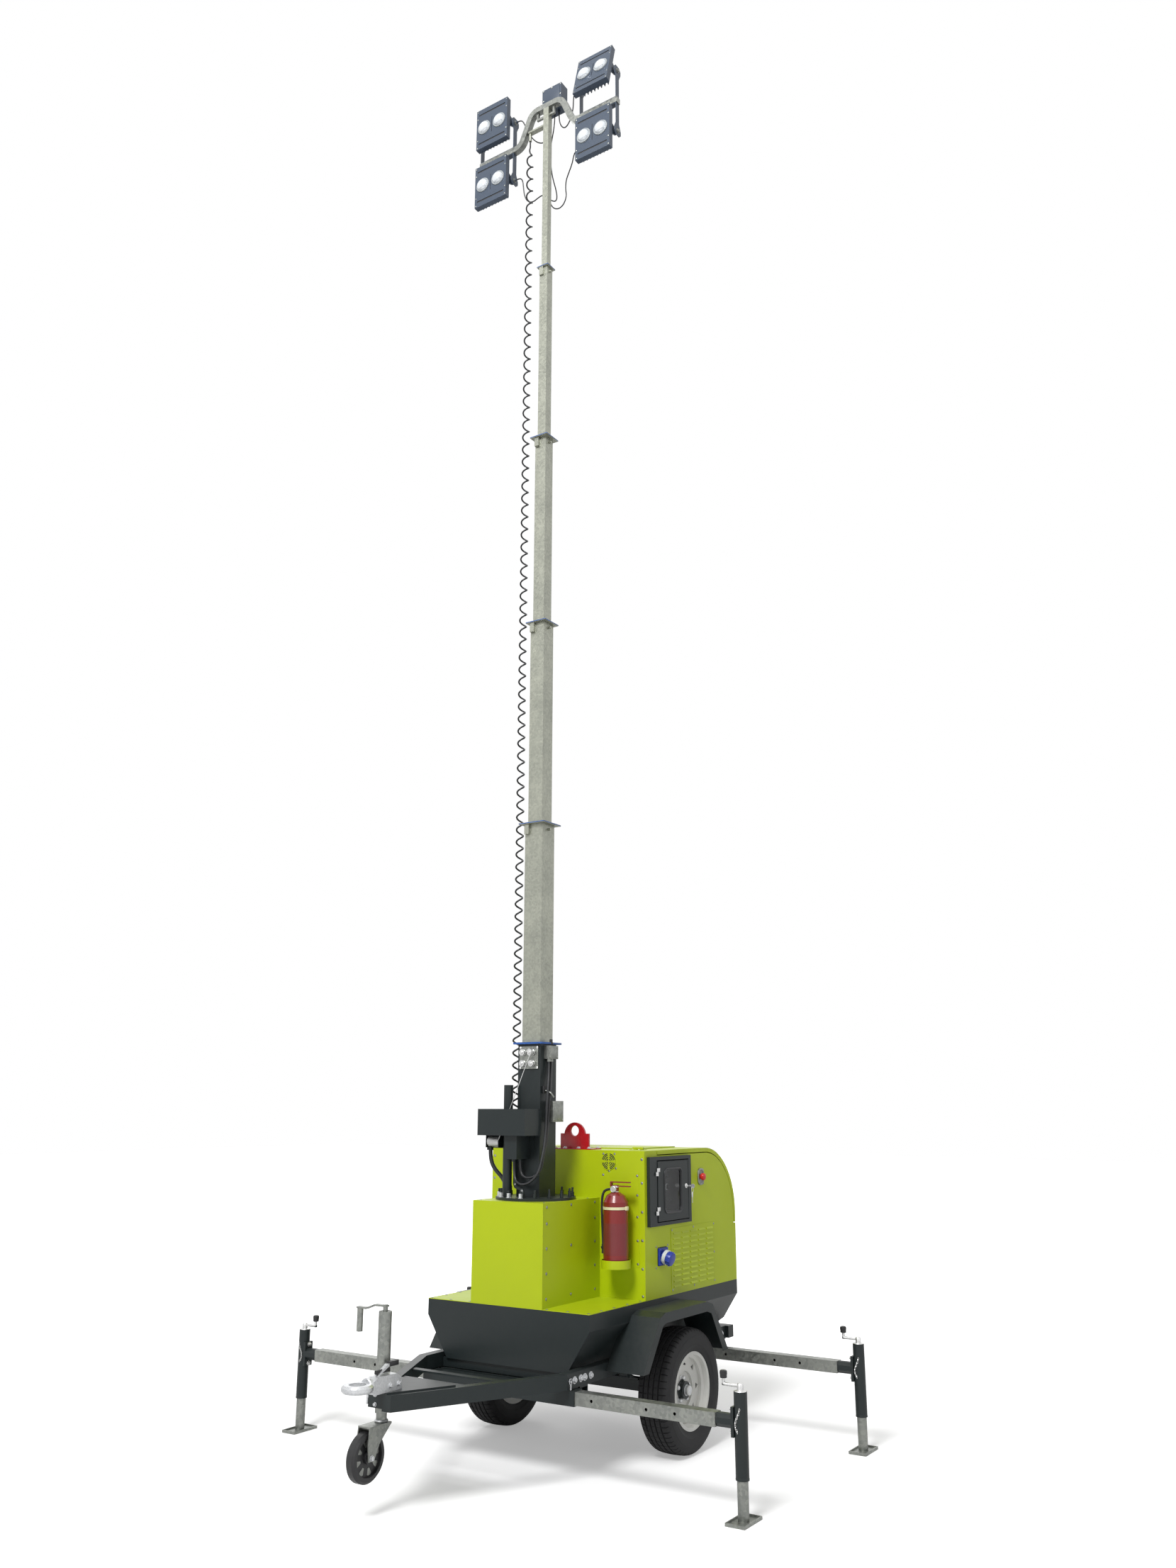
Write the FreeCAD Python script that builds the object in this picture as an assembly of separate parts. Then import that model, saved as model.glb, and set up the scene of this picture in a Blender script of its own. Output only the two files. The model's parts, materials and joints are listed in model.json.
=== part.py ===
import FreeCAD, Part
import math
import os

# Mobile light tower: a single-axle trailer with a telescopic mast, shown working,
# with the mast run out, four outriggers pulled out and their jacks on the ground.
# Millimetres. +X is the towing direction, +Y the left side, +Z up, the ground at z = 0.
# The sizes below are written from the middle of the axle. The finished pieces are moved
# together so that the origin is the middle of the whole tower's footprint.

V = FreeCAD.Vector
OUT = "parts"
os.makedirs(OUT, exist_ok=True)
SIDES = (-1, 1)

# Wheels
TYRE_R = 307.5
TYRE_W = 185.0
TRACK = 1141.0
RIM_R = 178.0
RIM_LIP = 13.0
RIM_W = 156.0
RIM_WALL = 4.0
RIM_DROP = 14.0
BEAD_GAP = 0.3
DISC_T = 6.0
DRUM_R = 70.0
HUB_R = 42.0
CAP_R = 24.0
SPINDLE_R = 17.0
SPINDLE_FIT = 0.05
BOLT_CIRCLE_R = 57.15
WHEEL_BOLTS = 5
RIM_HOLES = 8
RIM_HOLE_R = 136.0
RIM_HOLE_SIZE = 19.0

# Axle and springs
BEAM = 60.0
BEAM_PAST_RAIL = 27.0
LEAF_W = 50.0
LEAF_T = 8.0
LEAVES = 3
SPRING_HALF = 330.0
EYE_R = 16.0
U_BOLT = 10.0
CLIP_T = 8.0

# Frame and drawbar
TYRE_TO_RAIL = 18.0
RAIL_H = 70.0
RAIL_T = 50.0
RAIL_BOTTOM = 440.0
RAIL_REAR = -760.0
REAR_BAR_X = -795.0
REAR_BAR_HALF = 480.0
REAR_LAMP_W = 110.0
REAR_LAMP_OUT = 26.0
KINK_X = 900.0
NOSE_X = 1700.0
NOSE_Y = 32.0
FAR_RAIL_END = 1555.0
CROSS_X = (-700.0, -100.0, 740.0)
CROSS_W = 50.0
TIE_X = (1150.0, 1330.0)
TIE_W = 40.0
TIE_T = 8.0
NOSE_PLATE_X = 1400.0
PLATE_T = 8.0
CLAMP_WALL = 14.0

# Tub, the dark lower body
TUB_HALF = 510.0
TUB_FRONT = 780.0
TUB_REAR = -826.0
TUB_TOP = 763.0
BAND_BOTTOM = 686.0
TUB_BOTTOM = 484.0
TUB_INSIDE_RAIL = 58.0
TAIL_Z = 545.0
TAIL_X = -640.0
SHEET = 3.0

# Cabin, the green canopy
CABIN_FRONT = 240.0
CABIN_TOP = 1519.0
CABIN_WALL = 20.0
ARC_R = 370.0
LID_FRONT = 100.0
LID_REAR_Z = 1085.0
LID_LIP = 22.0
LID_GAP = 5.0
LID_SHEET = 3.0
LID_PANEL = (-420.0, 20.0, 330.0)
PANEL_T = 6.0
HINGE_R = 7.0
HINGE_Y = (-390.0, 390.0)
HINGE_HALF = 34.0
HINGE_PIN_R = 3.0
KNUCKLE = 11.0
VENT_Y = 286.0
VENT_Z = 1461.0
VENT_SIZE = 90.0
ACCESS_Y = (240.0, 476.0)
ACCESS_Z = (928.0, 1405.0)
ACCESS_T = 2.0

# Control box in the left wall
CONTROL_X = (-245.0, 215.0)
CONTROL_Z = (1128.0, 1486.0)
CONTROL_OUT = 20.0
CONTROL_DEPTH = 130.0
CONTROL_BACK = 30.0
DOOR_X = (-212.0, 135.0)
DOOR_Z = (1150.0, 1462.0)
DOOR_T = 12.0
DOOR_GAP = 5.0
DOOR_HINGE_Z = (1205.0, 1407.0)
DOOR_KNUCKLE_R = 4.5
DOOR_PIN_R = 2.0
PIN_CLEAR = 0.05
WINDOW_X = (-130.0, 62.0)
WINDOW_Z = (1190.0, 1420.0)
WINDOW_R = 28.0
GLASS_T = 4.0

# Socket, stop button and louvres
SOCKET_X = 61.0
SOCKET_Z = 970.0
SOCKET_R = 33.0
STOP_X = -392.0
STOP_Z = 1361.0
STOP_R = 20.0
LOUVRE_X = (-550.0, -37.0)
LOUVRE_Z = (777.0, 1105.0)
LOUVRE_T = 2.0
LOUVRE_COLUMNS = 5
LOUVRE_ROWS = 11
SLOT_LENGTH = 75.0
SLOT_HEIGHT = 12.0
SLOT_OUT = 5.0

# Engine and generator, one plain block
ENGINE_X = (-640.0, 80.0)
ENGINE_HALF = 260.0
ENGINE_H = 693.0

# Mast box in front of the cabin
BOX_HALF = 226.0
BOX_TOP = 1271.0

# Mast
MAST_X = 525.5
FLANGE_R = 215.0
FLANGE_T = 14.0
FLANGE_BOLTS = 16
FLANGE_BOLT = 16.0
BASE_SIZE = 150.0
BASE_WALL = 6.0
BASE_LIP = 20.0
BASE_TOP = 2083.0
STEP = 1239.0
LAST_STEP = 1253.0
OVERLAP = 300.0
COLLAR_T = 8.0
PAD_H = 40.0
PAD_FIT = 0.4
PAD_SEAT = 0.3
BLOCK_H = 58.0
BLOCK_W = 30.0
BLOCK_OUT = 16.0
POST_X = 637.0
POST_Y = -110.0
POST_R = 25.0
POST_PAST_TRAY = 126.0
STAND_GAP = 0.3
# name, outer width of the square tube, wall, how far the collar stands out
SECTIONS = (
    ("mast_section_1", 120.0, 5.0, 27.0),
    ("mast_section_2", 97.0, 4.0, 22.0),
    ("mast_section_3", 78.0, 4.0, 24.0),
    ("mast_section_4", 59.0, 3.0, 13.0),
    ("mast_section_5", 42.0, 3.0, 0.0),
)

# Light bar and head box
BAR = 40.0
BAR_END = 560.0
BAR_DROP = 232.0
BAR_BEND_OUT = 215.0
BAR_BEND_IN = 120.0
BAR_BEND_R = 75.0
FRAME_BAR = 15.0
FRAME_DROP = 60.0
HEAD_T = 75.0
HEAD_Y = (-60.0, 95.0)
HEAD_H = 182.0
HEAD_BELOW_BAR = 10.0
HEAD_GLAND_X = 470.0
HEAD_GLAND_Y = (-45.0, -15.0, 20.0, 55.0)
GLAND_ACROSS = 16.0
GLAND_LENGTH = 20.0

# Lamps and yokes
LAMP_Y = 412.0
LAMP_W = 262.0
LAMP_H = 320.0
LAMP_PIVOT = 235.0
LAMP_FACE = 85.0
LAMP_DEPTH = 38.0
LAMP_LIP = 5.0
GROOVE_Z = (112.0, 124.0)
GROOVE_HALF = 112.0
GROOVE_DEPTH = 4.0
LENS_R = 41.0
LENS_RISE = 26.0
LENS_Y = 64.0
BEZEL_R = 50.0
BEZEL_T = 5.0
FIN_T = 4.0
FIN_PITCH = 26.0
FIN_DEPTH = 28.0
FIN_SHORT = 24.0
EAR_T = 8.0
EAR_HALF = 45.0
STUB_R = 14.0
YOKE_T = 5.0
YOKE_W = 36.0
YOKE_GAP = 6.0
YOKE_CLEAR = 0.3
# name, side, above or below the bar, tilt in degrees
LAMPS = (
    ("lamp_upper_left", 1, 1, 13.0),
    ("lamp_upper_right", -1, 1, 0.0),
    ("lamp_lower_left", 1, -1, 0.0),
    ("lamp_lower_right", -1, -1, 0.0),
)

# Spiral cable and its tray
COIL_Y = -142.0
COIL_R = 25.0
GLAND_R = 10.0
HANGER_OVER_BAR = 78.0
HANGER_T = 12.0
HANGER_HALF = 16.0
HANGER_GLAND = 58.0
TRAY_BOTTOM = 1601.0
TRAY_H = 137.0
TRAY_T = 3.0
TRAY_REAR = 430.0
TRAY_FRONT = 752.0
TRAY_RIGHT = -229.0
TRAY_LEFT = 84.0
TRAY_OFF_BASE = 8.0

# Winch under the tray
GEAR_X = 119.5
GEAR_Y = (-70.0, 10.0)
GEAR_H = 121.0
WINCH_PLATE_T = 6.0
WINCH_PLATE_H = 69.0
DRUM_X = 40.0
DRUM_Y = (-228.0, -146.0)
DRUM_R_WINCH = 29.0
DRUM_BELOW = 33.0
CHEEK_T = 4.0
CHEEK_H = 65.0
CHEEK_OUT = 72.0

# Outriggers
ARM = 60.0
ARM_WALL = 4.0
ARM_Z = 400.0
SOCKET_WALL = 5.0
SOCKET_FIT = 0.4
SOCKET_PAST_RAIL = 45.0
ARM_INSIDE = 330.0
ARM_TO_JACK = 115.0
END_PLATE_T = 8.0
PEG_HOLE = 14.0
PEG_HOLE_Y = (95.0, 395.0, 545.0)
JACK = 60.0
JACK_TOP = 525.0
JACK_BOTTOM = 168.0
JACK_CAP = 6.0
WEB_T = 8.0
WEB_W = 56.0
WEB_H = 124.0
LEG_R = 25.0
LEG_FIT = 0.4
LEG_TOP = 370.0
CRANK = 12.0
CRANK_RISE = 22.0
CRANK_REACH = 82.0
KNOB = 28.0
KNOB_H = 30.0
FOOT_X = 175.0
FOOT_Y = 95.0
FOOT_T = 6.0
FOOT_RIM = 14.0
FOOT_WALL = 5.0
PIN_R = 20.0
PIN_FIT = 0.05
BOSS = 58.0
# name, side, x of the arm, distance of the foot from the middle plane
OUTRIGGERS = (
    ("front_left", 1, 835.0, 1345.0),
    ("front_right", -1, 745.0, 1440.0),
    ("rear_left", 1, -560.0, 1355.0),
    ("rear_right", -1, -650.0, 1440.0),
)

# Jockey wheel at the nose
JOCKEY_X = 1622.0
JOCKEY_Y = -62.0
SLEEVE_R = 30.0
SLEEVE_TOP = 840.0
SLEEVE_BOTTOM = 415.0
STEM_R = 24.0
STEM_TOP = 700.0
SLEEVE_FIT = 0.4
JOCKEY_TRAIL = 95.0
JOCKEY_Z = 250.0
JOCKEY_R = 106.0
JOCKEY_W = 50.0
JOCKEY_PIN_R = 8.0
FORK_T = 5.0
FORK_GAP = 6.0

# Towing eye
EYE_X = 1855.0
EYE_Z = 558.0
EYE_OUT = 70.0
EYE_HOLE = 38.0
EYE_T = 32.0
EYE_CHAMFER = 9.0
SHANK_R = 24.0

# Lifting eye on the roof
LIFT_X = 190.0
LIFT_Y = 30.0
LIFT_R = 70.0
LIFT_HOLE = 28.0
LIFT_T = 12.0

# Extinguisher
EXT_X = 332.0
EXT_OFF_SIDE = 125.0
EXT_R = 66.0
EXT_Z = 931.0
EXT_H = 334.0
RING_WALL = 3.0
RING_H = 42.0
RING_GAP = 9.0

# Fenders
FENDER_T = 3.0
FENDER_PAST_TYRE = 17.0
FENDER_GAP = 0.3
# x and z along the arch: the sheet's outer line, and the inner edge of its side skirt
FENDER_LINE = ((556.0, 472.0), (383.0, 714.0), (326.0, 733.0),
               (-127.0, 733.0), (-190.0, 713.0), (-357.0, 462.0))
FENDER_SKIRT = ((500.0, 472.0), (355.0, 672.0), (322.0, 683.0),
                (-124.0, 683.0), (-172.0, 668.0), (-300.0, 462.0))

# Cables and hoses: thickness and the points of each route
MAST_CABLES = (
    (14.0, ((522, 92, 1989), (522, 92, 1940), (546, 105, 1850), (560, 104, 1750), (561, 100, 1650),
            (578, 101, 1560), (600, 100, 1490), (614, 98, 1425), (640, 64, 1387), (650, 14, 1383),
            (642, -22, 1418), (642, -22, 1466))),
    (14.0, ((548, 92, 1989), (548, 92, 1940), (574, 108, 1850), (586, 107, 1750), (585, 104, 1650),
            (602, 108, 1560), (624, 106, 1480), (646, 98, 1405), (672, 58, 1356), (684, 2, 1350),
            (669, -44, 1392), (669, -44, 1466))),
    (22.0, ((650, -215, 1522), (650, -215, 1477), (638, -197, 1425), (612, -157, 1378), (600, -139, 1326),
            (600, -139, 1285.3))),
)
LAMP_LEADS = (
    (8.0, ((525, -252, 7845), (525, -222, 7845), (521, -204, 7820), (514, -202, 7765), (506, -200, 7712),
           (495, -186, 7667), (474, -154, 7655), (454, -122, 7692), (430, -94, 7724), (396, -68, 7694),
           (362, -48, 7690), (346, -40, 7724), (358, -42, 7786), (390, -52, 7870), (420, -48, 7966),
           (446, -38, 8060), (464, -22, 8150), (470, -15, 8225), (470, -15, 8282))),
    (8.0, ((525, -252, 8315), (525, -224, 8315), (516, -206, 8294), (492, -190, 8225), (464, -150, 8152),
           (444, -100, 8122), (446, -64, 8140), (464, -47, 8190), (470, -45, 8235), (470, -45, 8282))),
    (8.0, ((525, 252, 7845), (525, 224, 7845), (508, 200, 7830), (482, 172, 7808), (450, 128, 7790),
           (418, 80, 7765), (400, 64, 7715), (404, 76, 7655), (396, 50, 7605), (388, 0, 7592),
           (386, -50, 7625), (390, -78, 7700), (402, -80, 7850), (428, -62, 7990), (454, -12, 8110),
           (470, 20, 8215), (470, 20, 8282))),
    (8.0, ((525, 252, 8315), (525, 220, 8315), (515, 202, 8292), (494, 186, 8215), (474, 140, 8150),
           (460, 95, 8140), (462, 64, 8175), (470, 55, 8228), (470, 55, 8282))),
)
DRAIN_PIPE = 18.0
DRAIN_BEND = 26.0

# Sizes that follow from those above
WHEEL_Y = TRACK / 2
RAIL_Y = WHEEL_Y - TYRE_W / 2 - TYRE_TO_RAIL - RAIL_T / 2
RAIL_TOP = RAIL_BOTTOM + RAIL_H
BEAM_END = RAIL_Y + BEAM_PAST_RAIL
TUB_BOTTOM_HALF = RAIL_Y - TUB_INSIDE_RAIL
DECK_TOP = TUB_TOP + SHEET
BASE_HALF = BASE_SIZE / 2
BASE_FRONT = MAST_X + BASE_HALF
FLANGE_TOP = BOX_TOP + FLANGE_T
MAST_TOP = BASE_TOP + (len(SECTIONS) - 1) * STEP + LAST_STEP
BAR_HIGH_Z = MAST_TOP + BAR / 2
BAR_LOW_Z = BAR_HIGH_Z - BAR_DROP
HANGER_Z = BAR_LOW_Z + HANGER_OVER_BAR
COIL_HIGH = HANGER_Z - HANGER_GLAND
COIL_LOW = TRAY_BOTTOM + TRAY_T
TRAY_TOP = TRAY_BOTTOM + TRAY_H
CONTROL_FACE = TUB_HALF + CONTROL_OUT
DOOR_FACE = CONTROL_FACE + 2
SOCKET_HALF = ARM / 2 + SOCKET_WALL
SOCKET_MOUTH = RAIL_Y + SOCKET_PAST_RAIL
EXT_Y = TUB_HALF - EXT_OFF_SIDE
YOKE_REACH = LAMP_W / 2 + YOKE_GAP
FORK_TOP = JOCKEY_Z + JOCKEY_R + 14


def box(x0, x1, y0, y1, z0, z1):
    """A block between two corners, in any order."""
    low = V(min(x0, x1), min(y0, y1), min(z0, z1))
    return Part.makeBox(abs(x1 - x0), abs(y1 - y0), abs(z1 - z0), low)


def rod(radius, start, end):
    """A round bar from one point to another."""
    start = V(*start)
    way = V(*end) - start
    return Part.makeCylinder(radius, way.Length, start, way)


def pipe(outer, inner, start, end):
    """A round tube from one point to another."""
    return rod(outer, start, end).cut(rod(inner, start, end))


def ring_points(sides, across, centre, way):
    """The corners of a regular outline square to a direction, its width across the flats given."""
    way = V(*way).normalize()
    level = V(0, 0, 1) if abs(way.z) < 0.9 else V(1, 0, 0)
    first = way.cross(level).normalize()
    second = way.cross(first)
    reach = across / 2 / math.cos(math.pi / sides)
    corners = []
    for i in range(sides):
        a = 2 * math.pi * (i + 0.5) / sides
        corners.append(V(*centre) + first * (reach * math.cos(a)) + second * (reach * math.sin(a)))
    return corners


def prism(sides, across, start, end):
    """A flat-sided bar, such as a bolt head, from one point to another."""
    way = V(*end) - V(*start)
    corners = ring_points(sides, across, start, way)
    return Part.Face(Part.makePolygon(corners + corners[:1])).extrude(way)


def frustum(sides, across, across_end, start, end):
    """A flat-sided bar that narrows towards its end."""
    rings = []
    for width, centre in ((across, start), (across_end, end)):
        corners = ring_points(sides, width, centre, V(*end) - V(*start))
        rings.append(Part.makePolygon(corners + corners[:1]))
    return Part.makeLoft(rings, True, True)


def slab(points, way):
    """A flat outline, given as 3-D points, pushed along a vector."""
    points = [V(*p) for p in points]
    return Part.Face(Part.makePolygon(points + points[:1])).extrude(V(*way))


def profile_y(points, y0, y1):
    """An outline in X and Z, from one y to another."""
    return slab([(x, y0, z) for x, z in points], (0, y1 - y0, 0))


def profile_x(points, x0, x1):
    """An outline in Y and Z, from one x to another."""
    return slab([(x0, y, z) for y, z in points], (x1 - x0, 0, 0))


def profile_z(points, z0, z1):
    """An outline in X and Y, from one z to another."""
    return slab([(x, y, z0) for x, y in points], (0, 0, z1 - z0))


def square_tube(size, wall, low, high, x, y):
    """An upright square tube."""
    half = size / 2
    bore = half - wall
    outer = box(x - half, x + half, y - half, y + half, low, high)
    return outer.cut(box(x - bore, x + bore, y - bore, y + bore, low, high))


def fuse(shapes):
    """Shapes welded into one solid, with the seams taken out."""
    shapes = list(shapes)
    if len(shapes) == 1:
        return shapes[0]
    return shapes[0].multiFuse(shapes[1:]).removeSplitter()


def cut(shape, tools):
    for tool in tools:
        shape = shape.cut(tool)
    return shape


def turned(points, centre, axis):
    """A body turned about an axis: points are (radius, place along the axis)."""
    centre = V(*centre)
    axis = V(*axis)
    corners = [centre + V(r, 0, 0) + axis * a for r, a in points]
    return Part.Face(Part.makePolygon(corners + corners[:1])).revolve(centre, axis, 360)


def mirrored(half):
    """A closed outline from its half with places above zero, given from the axis outwards."""
    return tuple(half) + tuple((r, -a) for r, a in reversed(half))


def rounded_path(points, radius=None):
    """Straight runs joined by arcs, and the arcs' radii: a given one, or as large as the runs allow."""
    points = [V(*p) for p in points]
    edges = []
    radii = []
    here = points[0]
    for before, corner, after in zip(points, points[1:], points[2:]):
        to = (corner - before).normalize()
        away = (after - corner).normalize()
        turn = to.getAngle(away)
        room = 0.45 * min((corner - before).Length, (after - corner).Length)
        reach = room if radius is None else radius * math.tan(turn / 2)
        first = corner - to * reach
        last = corner + away * reach
        bend = reach / math.tan(turn / 2)
        inside = corner + (away - to).normalize() * (math.hypot(bend, reach) - bend)
        edges.append(Part.LineSegment(here, first).toShape())
        edges.append(Part.Arc(first, inside, last).toShape())
        radii.append(bend)
        here = last
    edges.append(Part.LineSegment(here, points[-1]).toShape())
    return Part.Wire(edges), radii


def swept(sides, across, points, radius=None):
    """A flat-sided bar or cable along a route."""
    path, radii = rounded_path(points, radius)
    corners = ring_points(sides, across, points[0], V(*points[1]) - V(*points[0]))
    profile = Part.makePolygon(corners + corners[:1])
    return path.makePipeShell([profile], True, False), path.Length, radii


pieces = {}


def keep(name, shape):
    pieces[name] = shape


# Frame, drawbar and sockets
def rail_reach(x):
    """Distance of the rail's middle from the middle plane, at a place on the drawbar."""
    return RAIL_Y + (NOSE_Y - RAIL_Y) * (x - KINK_X) / (NOSE_X - KINK_X)


def rail(side, end_x):
    """One bent side member: straight under the tub, then running in to the nose."""
    end_y = rail_reach(end_x)
    half = RAIL_T / 2
    outline = (
        (RAIL_REAR, side * (RAIL_Y - half)),
        (KINK_X, side * (RAIL_Y - half)),
        (end_x, side * (end_y - half)),
        (end_x, side * (end_y + half)),
        (KINK_X, side * (RAIL_Y + half)),
        (RAIL_REAR, side * (RAIL_Y + half)),
    )
    return profile_z(outline, RAIL_BOTTOM, RAIL_TOP)


clamp_half = SLEEVE_R + CLAMP_WALL
clamp_x0 = JOCKEY_X - clamp_half
clamp_x1 = JOCKEY_X + clamp_half
clamp_y0 = JOCKEY_Y - clamp_half
frame = [rail(1, NOSE_X), rail(-1, FAR_RAIL_END)]
for x in CROSS_X:
    inner = RAIL_Y - RAIL_T / 2 + 1
    frame.append(box(x - CROSS_W / 2, x + CROSS_W / 2, -inner, inner, RAIL_BOTTOM, TUB_BOTTOM))
for x in TIE_X:
    inner = rail_reach(x) - RAIL_T / 4
    frame.append(box(x - TIE_W / 2, x + TIE_W / 2, -inner, inner, RAIL_TOP - 2 * TIE_T, RAIL_TOP - TIE_T))
plate_y = rail_reach(NOSE_PLATE_X)
frame.append(profile_z(
    ((NOSE_PLATE_X, -plate_y), (NOSE_PLATE_X, plate_y), (NOSE_X, NOSE_Y), (NOSE_X, -NOSE_Y),
     (clamp_x1, clamp_y0), (clamp_x0, clamp_y0)),
    RAIL_TOP, RAIL_TOP + PLATE_T))
frame.append(box(clamp_x0, clamp_x1, clamp_y0, -NOSE_Y / 2, RAIL_BOTTOM, RAIL_TOP))
frame.append(box(FAR_RAIL_END - 20, clamp_x0 + 1, -rail_reach(FAR_RAIL_END), 0, RAIL_BOTTOM, RAIL_TOP))

# The bar across the rear end, with a lamp housing at each side
bar_low = RAIL_BOTTOM + 5
frame.append(box(REAR_BAR_X, RAIL_REAR + 1, -REAR_BAR_HALF, REAR_BAR_HALF, bar_low, RAIL_TOP))
for side in SIDES:
    outer = side * REAR_BAR_HALF
    frame.append(box(REAR_BAR_X - REAR_LAMP_OUT, REAR_BAR_X, outer - side * REAR_LAMP_W, outer,
                     bar_low, RAIL_TOP))
sleeve_hole = rod(SLEEVE_R + 0.2, (JOCKEY_X, JOCKEY_Y, RAIL_BOTTOM - 10),
                  (JOCKEY_X, JOCKEY_Y, RAIL_TOP + PLATE_T + 10))
keep("chassis_frame", fuse(frame).cut(sleeve_hole))

socket_bore = ARM / 2 + SOCKET_FIT
sockets = []
for name, side, x, foot_y in OUTRIGGERS:
    mouth = side * SOCKET_MOUTH
    far = -side * (RAIL_Y + RAIL_T / 2 - 5)
    outer = box(x - SOCKET_HALF, x + SOCKET_HALF, far, mouth, ARM_Z - SOCKET_HALF, ARM_Z + SOCKET_HALF)
    bore = box(x - socket_bore, x + socket_bore, far, mouth, ARM_Z - socket_bore, ARM_Z + socket_bore)
    socket = [outer.cut(bore)]
    for y in (-RAIL_Y, RAIL_Y):
        socket.append(box(x - SOCKET_HALF, x + SOCKET_HALF, y - RAIL_T / 2 + 5, y + RAIL_T / 2 - 5,
                          ARM_Z + SOCKET_HALF, RAIL_BOTTOM))
    sockets.append(fuse(socket))
keep("outrigger_sockets", Part.makeCompound(sockets))

# Axle and springs
axle = [box(-BEAM / 2, BEAM / 2, -BEAM_END, BEAM_END, TYRE_R - BEAM / 2, TYRE_R + BEAM / 2)]
for side in SIDES:
    inner = side * (BEAM_END - 5)
    axle.append(rod(SPINDLE_R, (0, inner, TYRE_R), (0, side * (WHEEL_Y + 30), TYRE_R)))
    axle.append(prism(8, BEAM - 4, (0, inner, TYRE_R), (0, side * (WHEEL_Y - 62), TYRE_R)))
keep("axle", fuse(axle))

SPRING_LOW = TYRE_R + BEAM / 2


def leaf(y0, reach, z0, lift):
    """One curved leaf, its ends raised."""
    top = z0 + LEAF_T
    edges = [
        Part.Arc(V(-reach, y0, top + lift), V(0, y0, top), V(reach, y0, top + lift)),
        Part.LineSegment(V(reach, y0, top + lift), V(reach, y0, z0 + lift)),
        Part.Arc(V(reach, y0, z0 + lift), V(0, y0, z0), V(-reach, y0, z0 + lift)),
        Part.LineSegment(V(-reach, y0, z0 + lift), V(-reach, y0, top + lift)),
    ]
    return Part.Face(Part.Wire([e.toShape() for e in edges])).extrude(V(0, LEAF_W, 0))


springs = []
pack_top = SPRING_LOW + LEAF_T * LEAVES
for side in SIDES:
    y0 = side * RAIL_Y - LEAF_W / 2
    y1 = y0 + LEAF_W
    sag = RAIL_BOTTOM - EYE_R - 22 - SPRING_LOW
    one = []
    for i in range(LEAVES):
        reach = SPRING_HALF * (1 - 0.26 * (LEAVES - 1 - i))
        one.append(leaf(y0, reach, SPRING_LOW + LEAF_T * i, sag * (reach / SPRING_HALF) ** 2))
    for end in SIDES:
        x = end * SPRING_HALF
        z = pack_top - LEAF_T / 2 + sag
        one.append(prism(8, 2 * EYE_R, (x, y0, z), (x, y1, z)))
        one.append(box(x - EYE_R, x + EYE_R, y0, y1, z, RAIL_BOTTOM))
    bolt_x = BEAM / 2 + U_BOLT / 2 + 1
    bolt_y = LEAF_W / 2 + U_BOLT / 2 + 1
    middle = side * RAIL_Y
    clip_x = bolt_x + U_BOLT
    clip_y = bolt_y + U_BOLT / 2
    beam_low = TYRE_R - BEAM / 2
    one.append(box(-clip_x, clip_x, middle - clip_y, middle + clip_y, pack_top - 1, pack_top + CLIP_T))
    one.append(box(-clip_x, clip_x, middle - clip_y, middle + clip_y, beam_low - CLIP_T, beam_low))
    for end in SIDES:
        for across in SIDES:
            x = end * bolt_x
            y = middle + across * bolt_y
            one.append(prism(6, U_BOLT, (x, y, beam_low - CLIP_T - 6), (x, y, pack_top + CLIP_T + 8)))
    springs.append(fuse(one))
keep("leaf_springs", Part.makeCompound(springs))


# Wheels
def tyre(side):
    """Tread, shoulders, bulging sides and beads, turned about the axle."""
    half = TYRE_W / 2
    bead = RIM_W / 2 - 10
    half_outline = ((RIM_R + BEAD_GAP, bead - 4), (RIM_R + 77, half), (TYRE_R, half - 30))
    return turned(mirrored(half_outline), (0, side * WHEEL_Y, TYRE_R), (0, 1, 0))


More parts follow.
